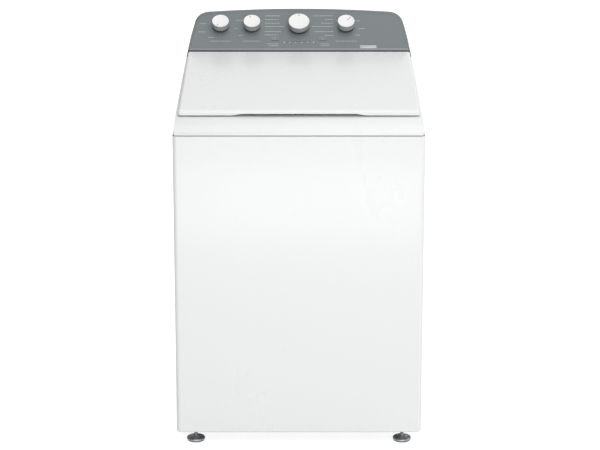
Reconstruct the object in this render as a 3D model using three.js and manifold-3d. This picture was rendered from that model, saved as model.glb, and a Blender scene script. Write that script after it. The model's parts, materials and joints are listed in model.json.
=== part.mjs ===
// A top load washing machine, as an assembly of separate solids.
// Units are millimetres. +X is to the machine's right as seen from the front, +Y to its back, +Z up.
// The origin is on the floor, under the middle of the machine's bounding box.
import * as THREE from "three";
import { mergeVertices } from "three/addons/utils/BufferGeometryUtils.js";
import Module from "manifold-3d";

const wasm = await Module();
wasm.setup();

// ---------- Driving dimensions ----------
const WIDTH = 690; // cabinet, side to side
const DEPTH = 690; // front face to the ends of the water ports
const PORT_REACH = 15; // how far the water ports stand out of the back
const CABINET_BOTTOM = 40; // lower edge of the cabinet above the floor
const SEAM_Z = 905; // joint between cabinet and top
const CONSOLE_TOP_RISE = 212.5; // seam to the crest of the console
const SHEET = 1.2; // cabinet steel
const GAP = 0.3; // assembly clearance between pieces that touch

const FRONT_Y = -DEPTH / 2;
const BACK_Y = DEPTH / 2 - PORT_REACH;
const CABINET_DEPTH = BACK_Y - FRONT_Y;
const HALF_WIDTH = WIDTH / 2;
const TOTAL_HEIGHT = SEAM_Z + CONSOLE_TOP_RISE;

// Top: a shell whose sides lean in as they rise, with a sloping deck that carries the lid.
const SIDE_LEAN = 0.11; // inward lean of the sides per millimetre of rise
const SIDE_BULGE = 0.0006; // growth of that lean with height
const TOP_WALL = 2.5;
const SEAM_GROOVE = 1.5; // step that makes the shadow line above the seam
const DECK_FRONT = 46; // from the front face back to the start of the deck
const DECK_FRONT_Z = SEAM_Z + 40.8;
const DECK_SLOPE = THREE.MathUtils.degToRad(7.315);

// Lid.
const LID_SHEET = 1.5;
const LID_HALF_FRONT = HALF_WIDTH - 13;
const LID_HALF_BACK = HALF_WIDTH - 22;
const LID_LENGTH = 465;
const LID_RISE = 8; // top face above the hinge axis, and radius of the back bead
const LID_SKIRT = 7; // lower edge below the hinge axis
const LID_GAP = 4; // lower edge above the deck
const LID_CORNER = 9;
const HINGE_Y_FROM_FRONT = 505;
const HINGE_X = LID_HALF_BACK - 36;
const HINGE_PIN_R = 3;
const GRIP_HALF_WIDTH = 152; // raised stretch of the lid's front edge
const GRIP_RUN = 36;
const GRIP_RISE = 4.6;
const STRIKE_FROM_NOSE = 23;
const STRIKE = { halfWidth: 9, thick: 4, reach: 26, clear: 3 };

// Loading opening in the deck, behind the lid's lock.
const OPENING_HALF_WIDTH = 235;
const OPENING_FRONT = HINGE_Y_FROM_FRONT - LID_LENGTH + 65; // from the front face
const OPENING_BACK = 472;
const OPENING_CORNER = 95;
const OPENING_LIP_Z = SEAM_Z + 20; // lower edge of the skirt round the opening

// Console.
const CONSOLE_FRONT = 521; // from the front face back to the foot of the control face
const CONSOLE_FOOT_RISE = 18.78; // height of that foot above the deck
const CONSOLE_SLOPE = THREE.MathUtils.degToRad(34);
const CONSOLE_CREST = 656; // from the front face back to the top of the control face
const CONSOLE_WALL = 3;
const CORNER_START_Z = TOTAL_HEIGHT - 38; // where the sides turn into the upper corners
const CROWN_HALF_WIDTH = 255;
const CROWN_DROP = 8; // how much lower the crown is at its ends than in the middle
const BACK_COVER_THICK = 2;
const VENT_Z = SEAM_Z + 157;

// Controls, placed on the control face: x across, and distance up the face from its foot.
const KNOB_UP = 94;
const KNOB_STEM_R = 4;
const SMALL_KNOB = { r: 25, height: 27 };
const LARGE_KNOB = { r: 31, height: 26 };
const KNOBS = [
  { name: "load_size_knob", switchName: "load_size_switch", x: -230, size: SMALL_KNOB, turn: 152 },
  { name: "temperature_knob", switchName: "temperature_switch", x: -138, size: SMALL_KNOB, turn: 18 },
  { name: "cycle_knob", switchName: "cycle_switch", x: 0, size: LARGE_KNOB, turn: 0 },
  { name: "rinse_knob", switchName: "rinse_switch", x: 138, size: SMALL_KNOB, turn: -42 },
];
const BUTTONS = [
  { name: "option_button", x: -69 },
  { name: "start_button", x: 69 },
];
const BUTTON_UP = 46;
const BUTTON_SIZE = { width: 23, height: 12, corner: 2.5, proud: 2.2 };
const LENS_UP = 32;
const LENS_SIZE = { width: 96, height: 6, corner: 2 };
const BOARD_DROP = 17; // circuit board below the control face

// Feet.
const FOOT_X = HALF_WIDTH - 52;
const FOOT_FRONT = 47; // foot centre from the front face
const FOOT_BACK = CABINET_DEPTH - 50;
const FOOT_PAD_R = 26;
const FOOT_STEM_R = 5;
const FOOT_STEM_TOP = 76;

// Tub group, hung from the cabinet's corners.
const TUB_Y = FRONT_Y + 340;
const TUB_R = 288;
const TUB_WALL = 3;
const TUB_BOTTOM = 372;
const TUB_TOP = SEAM_Z - 25;
const TUB_RIM = 8; // how far the rim stands out of the wall
const ROD_FROM_SIDE = 83; // suspension rods, in from the cabinet's sides, front and back
const ROD_FROM_FRONT = 78;
const ROD_FROM_BACK = 73;
const ROD_R = 3.5;
const ROD_BOTTOM = TUB_BOTTOM - 66;
const GUSSET_Z = SEAM_Z - 20;
const GUSSET_THICK = 3;
const GUSSET_REACH = 140; // along each wall from the corner
const GUSSET_WAIST = 39;
const SPRING_SEAT_Z = ROD_BOTTOM + 16;
const EAR_BOTTOM = TUB_BOTTOM + 58;
const EAR_THICK = 14;
const SPRING_COIL_R = 13;
const SPRING_WIRE_R = 1.7;
const SPRING_TURNS = 5;

// Basket, agitator and drive.
const BASKET_R = TUB_R - 26;
const BASKET_WALL = 1.5;
const BASKET_BOTTOM = TUB_BOTTOM + 32;
const BALANCE_IN = BASKET_R - 19;
const BALANCE_OUT = BASKET_R + 9;
const BALANCE_BOTTOM = TUB_TOP - 42;
const BALANCE_TOP = TUB_TOP - 8;
const SPIN_TUBE_R = 20;
const SHAFT_R = 11.5;
const AGITATOR_SKIRT_R = 168;
const AGITATOR_COLUMN_R = 46;
const AGITATOR_TOP = TUB_TOP - 100;
const AGITATOR_WALL = 3;
const AGITATOR_FINS = 4;
const CAP_R = AGITATOR_COLUMN_R - 2;
const GEARCASE_R = 70;
const GEARCASE_TOP = TUB_BOTTOM - 72.3;
const GEARCASE_BOTTOM = GEARCASE_TOP - 53.7;
const PULLEY_Z = GEARCASE_BOTTOM - 40;
const PULLEY_HEIGHT = 20;
const DRIVE_PULLEY_R = 75;
const MOTOR_PULLEY_R = 16;
const MOTOR_Y = 168; // motor axis behind the tub's axis
const MOTOR_R = 62;
const MOTOR_BOTTOM = PULLEY_Z + 32;
const MOTOR_TOP = TUB_BOTTOM - 26;
const BELT_THICK = 3;
const BELT_HEIGHT = 8;

// Water side.
const PORT_X = [-182, -132];
const PORT_Z = SEAM_Z - 55;
const PORT_R = 13.2; // outside of the hose thread
const DRAIN_X = HALF_WIDTH - 60;
const DRAIN_Z = SEAM_Z - 59;
const DRAIN_R = 13;
const HOSE_R = 12;
const GLAND_X = 190;
const GLAND_Z = SEAM_Z - 43;
const PUMP = { x: 150, y: -160, r: 40 };

// ---------- Materials ----------
const finish = (color, roughness, metalness = 0) =>
  new THREE.MeshStandardMaterial({ color, roughness, metalness });

const WHITE_ENAMEL = finish(0xf1f2f2, 0.35);
const WHITE_PLASTIC = finish(0xf4f4f3, 0.4);
const CONSOLE_GREY = finish(0x848c8e, 0.45);
const DARK_PLASTIC = finish(0x2e3032, 0.55);
const GREY_PLASTIC = finish(0x9ea3a6, 0.5);
const BLACK_RUBBER = finish(0x1b1b1c, 0.85);
const ZINC_STEEL = finish(0xa7abad, 0.4, 0.9);
const STAINLESS = finish(0xc6c9cb, 0.3, 1);
const BOARD_GREEN = finish(0x1f5a3c, 0.6);
const LENS_CLEAR = finish(0xd8e0e2, 0.15);
const TUB_PLASTIC = finish(0xd9dbd8, 0.55);
const AGITATOR_PLASTIC = finish(0xdfe3e6, 0.45);

// ---------- Solids ----------
// A closed geometry as a manifold solid, turned right side out whichever way its profile ran.
function solid(geometry) {
  const loose = geometry.index ? geometry.toNonIndexed() : geometry;
  const bare = new THREE.BufferGeometry();
  bare.setAttribute("position", loose.getAttribute("position"));
  const merged = mergeVertices(bare, 1e-4);
  const index = merged.index.array;
  const at = merged.attributes.position;
  const corners = [];
  let volume = 0;
  const [a, b, c] = [new THREE.Vector3(), new THREE.Vector3(), new THREE.Vector3()];
  for (let i = 0; i < index.length; i += 3) {
    const [p, q, r] = index.slice(i, i + 3);
    if (p === q || q === r || r === p) continue;
    corners.push(p, q, r);
    a.fromBufferAttribute(at, p);
    b.fromBufferAttribute(at, q);
    c.fromBufferAttribute(at, r);
    volume += a.dot(b.cross(c));
  }
  if (volume < 0) corners.reverse();
  return new wasm.Manifold(
    new wasm.Mesh({
      numProp: 3,
      vertProperties: new Float32Array(at.array),
      triVerts: new Uint32Array(corners),
    }),
  );
}

// A manifold solid as a geometry for a mesh.
function geometryOf(body) {
  const mesh = body.getMesh();
  const positions = new Float32Array(mesh.numVert * 3);
  for (let i = 0; i < mesh.numVert; i += 1) {
    const from = i * mesh.numProp;
    positions.set(mesh.vertProperties.subarray(from, from + 3), i * 3);
  }
  const geometry = new THREE.BufferGeometry();
  geometry.setAttribute("position", new THREE.BufferAttribute(positions, 3));
  geometry.setIndex(new THREE.BufferAttribute(mesh.triVerts, 1));
  geometry.computeVertexNormals();
  return geometry;
}

const joined = (...bodies) => bodies.reduce((all, body) => all.add(body));
const cut = (body, ...tools) => tools.reduce((left, tool) => left.subtract(tool), body);

function box(x0, x1, y0, y1, z0, z1) {
  const geometry = new THREE.BoxGeometry(x1 - x0, y1 - y0, z1 - z0);
  return solid(geometry.translate((x0 + x1) / 2, (y0 + y1) / 2, (z0 + z1) / 2));
}

const AXIS_TURNS = { x: [0, 0, -Math.PI / 2], y: [0, 0, 0], z: [Math.PI / 2, 0, 0] };

// A cylinder along an axis, from its start to its end on that axis, centred on the other two.
function rod(axis, radius, from, to, [u, v] = [0, 0], sides = 24) {
  const geometry = new THREE.CylinderGeometry(radius, radius, to - from, sides);
  const [rx, ry, rz] = AXIS_TURNS[axis];
  geometry.rotateX(rx).rotateY(ry).rotateZ(rz);
  const middle = (from + to) / 2;
  const place = { x: [middle, u, v], y: [u, middle, v], z: [u, v, middle] }[axis];
  return solid(geometry.translate(...place));
}

// A profile of [radius, height] pairs turned about the vertical axis.
function turned(profile, sides = 32) {
  const closed = profile[0][0] > 0 ? [...profile, profile[0]] : profile;
  const points = closed.map(([r, z]) => new THREE.Vector2(r, z));
  return solid(new THREE.LatheGeometry(points, sides).rotateX(Math.PI / 2));
}

function extruded(shape, length, curveSegments = 8) {
  return new THREE.ExtrudeGeometry(shape, { depth: length, bevelEnabled: false, curveSegments });
}

// Prisms of a plan outline (x, y), a front outline (x, z) and a side outline (y, z).
const prismUp = (shape, z0, z1, n) => solid(extruded(shape, z1 - z0, n).translate(0, 0, z0));
const prismBack = (shape, y0, y1, n) =>
  solid(extruded(shape, y1 - y0, n).rotateX(Math.PI / 2).translate(0, y1, 0));
const SIDEWAYS = new THREE.Matrix4().makeBasis(
  new THREE.Vector3(0, 1, 0),
  new THREE.Vector3(0, 0, 1),
  new THREE.Vector3(1, 0, 0),
);
const prismAcross = (shape, x0, x1, n) =>
  solid(extruded(shape, x1 - x0, n).applyMatrix4(SIDEWAYS).translate(x0, 0, 0));

function outline(points) {
  return new THREE.Shape(points.map(([x, y]) => new THREE.Vector2(x, y)));
}

// A rectangle with a radius for each corner, going counter-clockwise from the lower left.
function roundedBox(x0, y0, x1, y1, r0, r1 = r0, r2 = r0, r3 = r0) {
  const shape = new THREE.Shape();
  const quarter = Math.PI / 2;
  shape.moveTo(x0 + r0, y0).lineTo(x1 - r1, y0);
  if (r1) shape.absarc(x1 - r1, y0 + r1, r1, -quarter, 0);
  shape.lineTo(x1, y1 - r2);
  if (r2) shape.absarc(x1 - r2, y1 - r2, r2, 0, quarter);
  shape.lineTo(x0 + r3, y1);
  if (r3) shape.absarc(x0 + r3, y1 - r3, r3, quarter, 2 * quarter);
  shape.lineTo(x0, y0 + r0);
  if (r0) shape.absarc(x0 + r0, y0 + r0, r0, 2 * quarter, 3 * quarter);
  return shape;
}

// A tube of a round section along a smooth path.
function tube(points, radius, steps, sides = 10, tension = 0.5) {
  const path = new THREE.CatmullRomCurve3(
    points.map((p) => new THREE.Vector3(...p)),
    false,
    "catmullrom",
    tension,
  );
  const section = new THREE.Shape();
  for (let i = 0; i < sides; i += 1) {
    const angle = (i / sides) * 2 * Math.PI;
    const at = [radius * Math.cos(angle), radius * Math.sin(angle)];
    if (i) section.lineTo(...at);
    else section.moveTo(...at);
  }
  return solid(new THREE.ExtrudeGeometry(section, { steps, extrudePath: path, bevelEnabled: false }));
}

// ---------- Scene graph ----------
const machine = new THREE.Group();

function add(parent, name, body, material, position = [0, 0, 0]) {
  const mesh = new THREE.Mesh(geometryOf(body), material);
  mesh.name = name;
  mesh.position.set(...position);
  parent.add(mesh);
  return mesh;
}

// ---------- Shared outlines ----------
const deckZ = (fromFront) => DECK_FRONT_Z + (fromFront - DECK_FRONT) * Math.tan(DECK_SLOPE);
const CONSOLE_FOOT_Z = deckZ(CONSOLE_FRONT) + CONSOLE_FOOT_RISE;
const halfWidthAt = (z) => {
  const rise = z - SEAM_Z;
  return HALF_WIDTH - SIDE_LEAN * rise - SIDE_BULGE * rise * rise;
};

// The body's front outline above the seam, leaning in with height, drawn inset from its skin.
function leaningOutline(bottom, top, inset, steps = 7) {
  const side = [];
  for (let i = 0; i <= steps; i += 1) {
    const z = bottom + ((top - bottom) * i) / steps;
    side.push([halfWidthAt(Math.max(z, SEAM_Z)) - inset, z]);
  }
  return outline([...side, ...side.map(([x, z]) => [-x, z]).reverse()]);
}

// ---------- Cabinet ----------
const FLANGE = 14;
const CABINET_CORNER = 12;
const BACK_PANEL_THICK = SHEET;
const WRAP_BACK = BACK_Y - BACK_PANEL_THICK - GAP;

function cabinetPlan(inset) {
  const corner = Math.max(CABINET_CORNER - inset, 1);
  const [x, y] = [HALF_WIDTH - inset, FRONT_Y + inset];
  return roundedBox(-x, y, x, WRAP_BACK, corner, corner, 0, 0);
}

const RODS = [
  ["front", FRONT_Y + ROD_FROM_FRONT],
  ["rear", BACK_Y - ROD_FROM_BACK],
].flatMap(([end, y]) => [
  { name: `${end}_left`, x: ROD_FROM_SIDE - HALF_WIDTH, y },
  { name: `${end}_right`, x: HALF_WIDTH - ROD_FROM_SIDE, y },
]);

function cabinetWrap() {
  const skin = prismUp(cabinetPlan(0), CABINET_BOTTOM, SEAM_Z, 5);
  const inside = prismUp(cabinetPlan(SHEET), CABINET_BOTTOM - 1, SEAM_Z + 1, 5);
  const beyond = box(-HALF_WIDTH, HALF_WIDTH, WRAP_BACK - 1, BACK_Y + 1, 0, TOTAL_HEIGHT);
  const open = box(
    -HALF_WIDTH + FLANGE,
    HALF_WIDTH - FLANGE,
    FRONT_Y + FLANGE,
    BACK_Y,
    0,
    TOTAL_HEIGHT,
  );
  const flanges = [
    [CABINET_BOTTOM, CABINET_BOTTOM + SHEET],
    [SEAM_Z - SHEET, SEAM_Z],
  ].map(([z0, z1]) => prismUp(cabinetPlan(0.1), z0, z1, 5).subtract(open));
  const returns = prismUp(cabinetPlan(0.1), CABINET_BOTTOM, SEAM_Z, 5).intersect(
    box(-HALF_WIDTH, HALF_WIDTH, WRAP_BACK - SHEET, WRAP_BACK, 0, TOTAL_HEIGHT),
  );
  const backOpening = box(
    -HALF_WIDTH + FLANGE,
    HALF_WIDTH - FLANGE,
    WRAP_BACK - 5,
    BACK_Y,
    0,
    TOTAL_HEIGHT,
  );
  const corners = RODS.map(({ x, y }) => {
    const [sx, sy] = [Math.sign(x), Math.sign(y - TUB_Y)];
    const edgeX = sx * (HALF_WIDTH - SHEET / 2);
    const edgeY = sy > 0 ? WRAP_BACK - SHEET / 2 : FRONT_Y + SHEET / 2;
    const plate = outline([
      [edgeX, edgeY],
      [edgeX - sx * GUSSET_REACH, edgeY],
      [edgeX - sx * GUSSET_REACH, edgeY - sy * GUSSET_WAIST],
      [edgeX - sx * GUSSET_WAIST, edgeY - sy * GUSSET_REACH],
      [edgeX, edgeY - sy * GUSSET_REACH],
    ]);
    const rounded = prismUp(cabinetPlan(0.1), GUSSET_Z, GUSSET_Z + GUSSET_THICK, 5);
    const bore = rod("z", ROD_R + 1.5, GUSSET_Z - 1, GUSSET_Z + 9, [x, y], 12);
    return prismUp(plate, GUSSET_Z, GUSSET_Z + GUSSET_THICK).intersect(rounded).subtract(bore);
  });
  const shell = cut(skin, inside, beyond);
  return joined(shell, ...flanges, returns.subtract(backOpening), ...corners);
}

function rearPanel() {
  const inset = SHEET;
  const sheet = box(
    -HALF_WIDTH + inset,
    HALF_WIDTH - inset,
    BACK_Y - BACK_PANEL_THICK,
    BACK_Y,
    CABINET_BOTTOM + 12,
    SEAM_Z,
  );
  const through = [BACK_Y - 10, BACK_Y + 10];
  const ports = PORT_X.map((x) => rod("y", PORT_R + 2, ...through, [x, PORT_Z]));
  const drain = rod("y", DRAIN_R + 1, ...through, [DRAIN_X, DRAIN_Z]);
  const gland = rod("y", 9 + GAP, ...through, [GLAND_X, GLAND_Z]);
  return cut(sheet, ...ports, drain, gland);
}

function baseFrame() {
  const [low, high] = [CABINET_BOTTOM + SHEET + GAP, CABINET_BOTTOM + 17];
  const edge = SHEET + GAP;
  const x = HALF_WIDTH - edge;
  const [y0, y1] = [FRONT_Y + edge, WRAP_BACK - SHEET - GAP];
  const rail = 42;
  const corner = CABINET_CORNER - 1;
  const ring = prismUp(roundedBox(-x, y0, x, y1, corner, corner, 0, 0), low, high, 5);
  const middle = prismUp(roundedBox(-x + rail, y0 + rail, x - rail, y1 - rail, 14), low - 1, high + 1);
  const bosses = FEET.map((foot) => rod("z", 24, low, high + 8, [foot.x, foot.y], 14));
  const boreR = FOOT_STEM_R + 0.4;
  const bores = FEET.map((foot) => rod("z", boreR, low - 1, high + 9, [foot.x, foot.y], 14));
  return cut(joined(ring.subtract(middle), ...bosses), ...bores);
}

const FEET = [
  { name: "front_left_foot", x: -FOOT_X, y: FRONT_Y + FOOT_FRONT },
  { name: "front_right_foot", x: FOOT_X, y: FRONT_Y + FOOT_FRONT },
  { name: "rear_left_foot", x: -FOOT_X, y: FRONT_Y + FOOT_BACK },
  { name: "rear_right_foot", x: FOOT_X, y: FRONT_Y + FOOT_BACK },
];

// A levelling foot: pad, dished flange, lock nut and threaded stem.
function levellingFoot() {
  const nut = [CABINET_BOTTOM - 8, CABINET_BOTTOM];
  return turned(
    [
      [0, 0],
      [FOOT_PAD_R - 2, 0],
      [FOOT_PAD_R, 2],
      [FOOT_PAD_R, 8],
      [FOOT_PAD_R - 3, 10.5],
      [11, 13],
      [FOOT_STEM_R, 15],
      [FOOT_STEM_R, nut[0]],
      [9.5, nut[0]],
      [9.5, nut[1]],
      [FOOT_STEM_R, nut[1]],
      [FOOT_STEM_R, FOOT_STEM_TOP],
      [0, FOOT_STEM_TOP],
    ],
    14,
  );
}

// ---------- Top ----------
const LID_NOSE_Y = LID_RISE - LID_LENGTH;
const STRIKE_Y = LID_NOSE_Y + STRIKE_FROM_NOSE; // along the lid from its hinge
const STRIKE_WORLD_Y =
  FRONT_Y +
  HINGE_Y_FROM_FRONT +
  STRIKE_Y * Math.cos(DECK_SLOPE) +
  (LID_SKIRT + LID_GAP) * Math.sin(DECK_SLOPE);
const BLEACH = {
  x: -OPENING_HALF_WIDTH - 41,
  fromFront: OPENING_FRONT + 23,
  halfX: 22,
  halfY: 32,
  depth: 28,
};

// The deck and front of the top, as a side outline set in by a wall.
// The curve starts almost upright at the seam.
function topProfile(inset, bottom) {
  const [start, deckStart] = [SEAM_Z + GAP + 2.5, FRONT_Y + DECK_FRONT];
  const drop = inset / Math.cos(DECK_SLOPE);
  const shape = new THREE.Shape();
  shape.moveTo(FRONT_Y + inset, bottom);
  shape.lineTo(FRONT_Y + inset, start);
  const turn = [FRONT_Y + 4 + inset, start + 24 - drop];
  shape.quadraticCurveTo(...turn, deckStart + inset * 0.3, DECK_FRONT_Z - drop);
  shape.lineTo(BACK_Y - inset, deckZ(CABINET_DEPTH - inset) - drop);
  shape.lineTo(BACK_Y - inset, bottom);
  return shape;
}

function openingPlan(outset) {
  return roundedBox(
    -OPENING_HALF_WIDTH - outset,
    FRONT_Y + OPENING_FRONT - outset,
    OPENING_HALF_WIDTH + outset,
    FRONT_Y + OPENING_BACK + outset,
    OPENING_CORNER + outset,
  );
}

function topPanel() {
  const bottom = SEAM_Z + GAP;
  const ceiling = deckZ(CABINET_DEPTH) + 1;
  const hull = (inset, low) =>
    prismBack(leaningOutline(low, ceiling, inset), FRONT_Y, BACK_Y).intersect(
      prismAcross(topProfile(inset, low), -HALF_WIDTH, HALF_WIDTH, 10),
    );
  const outer = hull(0, bottom);
  const inner = hull(TOP_WALL, bottom - 1);
  const skirtRing = prismUp(openingPlan(TOP_WALL), OPENING_LIP_Z, ceiling, 8).intersect(outer);
  const through = prismUp(openingPlan(0), bottom - 1, ceiling + 1, 8);
  const { halfWidth, clear } = STRIKE;
  const strikeSlot = box(
    -halfWidth - clear,
    halfWidth + clear,
    STRIKE_WORLD_Y - 7,
    STRIKE_WORLD_Y + 7,
    bottom,
    ceiling,
  );
  const bleachY = FRONT_Y + BLEACH.fromFront;
  const bleachHole = prismUp(
    roundedBox(
      BLEACH.x - BLEACH.halfX - GAP,
      bleachY - BLEACH.halfY - GAP,
      BLEACH.x + BLEACH.halfX + GAP,
      bleachY + BLEACH.halfY + GAP,
      8 + GAP,
    ),
    bottom,
    ceiling,
    4,
  );
  const grooveBlock = box(-HALF_WIDTH - 1, HALF_WIDTH + 1, FRONT_Y - 1, BACK_Y + 1, bottom - 1, bottom + 2);
  const grooveCore = prismUp(
    roundedBox(
      -HALF_WIDTH + SEAM_GROOVE,
      FRONT_Y + SEAM_GROOVE,
      HALF_WIDTH - SEAM_GROOVE,
      BACK_Y - SEAM_GROOVE,
      CABINET_CORNER,
      CABINET_CORNER,
      0,
      0,
    ),
    bottom - 2,
    bottom + 3,
    5,
  );
  const frontCorners = prismUp(cabinetTopPlan(), bottom - 2, ceiling + 1, 5);
  const shell = cut(outer, inner).add(skirtRing).intersect(frontCorners);
  return cut(shell, through, strikeSlot, bleachHole, grooveBlock.subtract(grooveCore));
}

// The cabinet's plan with its rounded front corners, closed at the back.
function cabinetTopPlan() {
  return roundedBox(-HALF_WIDTH, FRONT_Y, HALF_WIDTH, BACK_Y, CABINET_CORNER, CABINET_CORNER, 0, 0);
}

function bleachDispenser() {
  const y = FRONT_Y + BLEACH.fromFront;
  const plan = (grow, corner) =>
    roundedBox(
      BLEACH.x - BLEACH.halfX - grow,
      y - BLEACH.halfY - grow,
      BLEACH.x + BLEACH.halfX + grow,
      y + BLEACH.halfY + grow,
      corner,
    );
  const top = deckZ(BLEACH.fromFront + BLEACH.halfY + 5) + GAP;
  const floor = deckZ(BLEACH.fromFront) - BLEACH.depth;
  const cup = prismUp(plan(0, 8), floor, top + 1.5, 4);
  const rim = prismUp(plan(5, 12), top, top + 1.5, 4);
  const hollow = prismUp(plan(-2, 6), floor + 2, top + 3, 4);
  const drainHole = rod("z", 5, floor - 1, floor + 3, [BLEACH.x + 8, y], 12);
  return cut(joined(cup, rim), hollow, drainHole);
}

// ---------- Lid, built about its hinge axis: y runs back along the lid, z stands up from it ----------
const PLATE_INSIDE = LID_RISE - LID_SHEET;

function lidSide(inset) {
  const shape = new THREE.Shape();
  const noseR = 9 - inset;
  const front = LID_NOSE_Y + inset;
  const top = LID_RISE - inset;
  const low = inset ? -LID_SKIRT - 1 : -LID_SKIRT;
  shape.moveTo(front, low);
  shape.lineTo(front, top - noseR);
  shape.absarc(front + noseR, top - noseR, noseR, Math.PI, Math.PI / 2, true);
  shape.lineTo(0, top);
  shape.absarc(0, 0, top, Math.PI / 2, -Math.PI / 6, true);
  shape.lineTo(top * 0.5, low);
  return shape;
}

function lidPlan(inset) {
  const [front, back] = [LID_NOSE_Y + inset, LID_RISE - inset];
  const [xf, xb] = [LID_HALF_FRONT - inset, LID_HALF_BACK - inset];
  const corner = LID_CORNER - inset;
  const shape = new THREE.Shape();
  shape.moveTo(-xf + corner, front);
  shape.lineTo(xf - corner, front);
  shape.quadraticCurveTo(xf, front, xf, front + corner);
  shape.lineTo(xb, back);
  shape.lineTo(-xb, back);
  shape.lineTo(-xf, front + corner);
  shape.quadraticCurveTo(-xf, front, -xf + corner, front);
  return shape;
}

function lidPan() {
  const block = (inset) =>
    prismAcross(lidSide(inset), -LID_HALF_FRONT, LID_HALF_FRONT, 6).intersect(
      prismUp(lidPlan(inset), -LID_SKIRT - 1, LID_RISE + 1, 5),
    );
  const grip = prismBack(
    outline([
      [-GRIP_HALF_WIDTH - GRIP_RUN, -LID_SKIRT - 1],
      [GRIP_HALF_WIDTH + GRIP_RUN, -LID_SKIRT - 1],
      [GRIP_HALF_WIDTH + GRIP_RUN, -LID_SKIRT],
      [GRIP_HALF_WIDTH, -LID_SKIRT + GRIP_RISE],
      [-GRIP_HALF_WIDTH, -LID_SKIRT + GRIP_RISE],
      [-GRIP_HALF_WIDTH - GRIP_RUN, -LID_SKIRT],
    ]),
    LID_NOSE_Y - 1,
    LID_NOSE_Y + LID_SHEET + 3,
  );
  const notches = [-HINGE_X, HINGE_X].map((x) =>
    box(x - 6, x + 6, 2.5, LID_RISE + 1, -LID_SKIRT - 1, 5.5),
  );
  const knuckles = [-HINGE_X, HINGE_X].flatMap((x) =>
    [-1, 1].map((side) => {
      const inner = x + side * 6.5;
      const outerX = x + side * 11;
      const [x0, x1] = [Math.min(inner, outerX), Math.max(inner, outerX)];
      const ear = box(x0, x1, -6, 6, -5.5, PLATE_INSIDE + 0.5);
      return ear.subtract(rod("x", HINGE_PIN_R + GAP, x0 - 1, x1 + 1, [0, 0], 16));
    }),
  );
  return joined(cut(block(0), block(LID_SHEET), grip, ...notches), ...knuckles);
}

function hingeBracket() {
  const deckBelow = -(LID_SKIRT + LID_GAP) + GAP;
  const leg = box(-2, 2, -4.5, 3, deckBelow, 0);
  const head = rod("x", 5, -2, 2, [0, 0], 20);
  const foot = box(-2, 2, -14, 3, deckBelow, deckBelow + 2);
  return cut(joined(leg, head, foot), rod("x", HINGE_PIN_R + GAP, -3, 3, [0, 0], 16));
}

const WINDOW = { halfWidth: 5.5, low: -24, high: -15 };

function lidStrike() {
  const { halfWidth, thick, reach } = STRIKE;
  const top = PLATE_INSIDE - GAP;
  const tongue = box(-halfWidth, halfWidth, STRIKE_Y - thick / 2, STRIKE_Y + thick / 2, -reach, top);
  const foot = box(-halfWidth - 5, halfWidth + 5, STRIKE_Y - 8, STRIKE_Y + 8, top - 2, top);
  const [wide, low, high] = [WINDOW.halfWidth, WINDOW.low, WINDOW.high];
  const window = box(-wide, wide, STRIKE_Y - 9, STRIKE_Y + 9, low, high);
  return cut(joined(tongue, foot), window);
}

const BUMPER = { x: LID_HALF_FRONT - 33, fromNose: 26, r: 7 };

function lidBumper() {
  return turned(
    [
      [0, -LID_SKIRT - LID_GAP + GAP],
      [BUMPER.r - 2, -LID_SKIRT - LID_GAP + GAP],
      [BUMPER.r, -LID_SKIRT],
      [BUMPER.r, PLATE_INSIDE - GAP],
      [0, PLATE_INSIDE - GAP],
    ],
    16,
  );
}

// ---------- Lid lock, built in the lid's own frame so that it lines up with the strike ----------
const BOLT = { halfWidth: 4.2, length: 15, clear: 3.5 };

function lockHousing() {
  const top = -(LID_SKIRT + LID_GAP) - TOP_WALL - GAP;
  const body = box(-30, 30, STRIKE_Y - 13, STRIKE_Y + 20, top - 21, top);
  const slotWide = STRIKE.halfWidth + STRIKE.clear;
  const slot = box(-slotWide, slotWide, STRIKE_Y - 6, STRIKE_Y + 4.5, top - 19, top + 1);
  const channel = box(
    -BOLT.halfWidth - GAP,
    BOLT.halfWidth + GAP,
    STRIKE_Y - 12,
    STRIKE_Y + 21,
    WINDOW.low + 0.7,
    WINDOW.high - 0.7,
  );
  return cut(body, slot, channel);
}

function lockBolt() {
  const near = STRIKE_Y + STRIKE.thick / 2 + BOLT.clear - 2;
  return box(
    -BOLT.halfWidth,
    BOLT.halfWidth,
    near,
    near + BOLT.length - 1,
    WINDOW.low + 1,
    WINDOW.high - 1,
  );
}

// ---------- Console ----------
const consoleTop = (inset) => TOTAL_HEIGHT - inset;

function consoleFront(inset) {
  const shape = new THREE.Shape();
  const bottom = deckZ(CONSOLE_FRONT) - 20;
  const steps = 7;
  const side = [];
  for (let i = 0; i <= steps; i += 1) {
    const z = bottom + ((CORNER_START_Z - inset - bottom) * i) / steps;
    side.push([halfWidthAt(z) - inset, z]);
  }
  const cornerX = halfWidthAt(CORNER_START_Z) - 10 - inset;
  const endZ = consoleTop(inset) - CROWN_DROP;
  shape.moveTo(...side[0]);
  side.slice(1).forEach((p) => shape.lineTo(...p));
  shape.quadraticCurveTo(cornerX, endZ, CROWN_HALF_WIDTH, endZ);
  shape.quadraticCurveTo(0, consoleTop(inset) + CROWN_DROP, -CROWN_HALF_WIDTH, endZ);
  shape.quadraticCurveTo(-cornerX, endZ, -side[steps][0], side[steps][1]);
  side
    .slice(0, -1)
    .reverse()
    .forEach(([x, z]) => shape.lineTo(-x, z));
  return shape;
}

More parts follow.
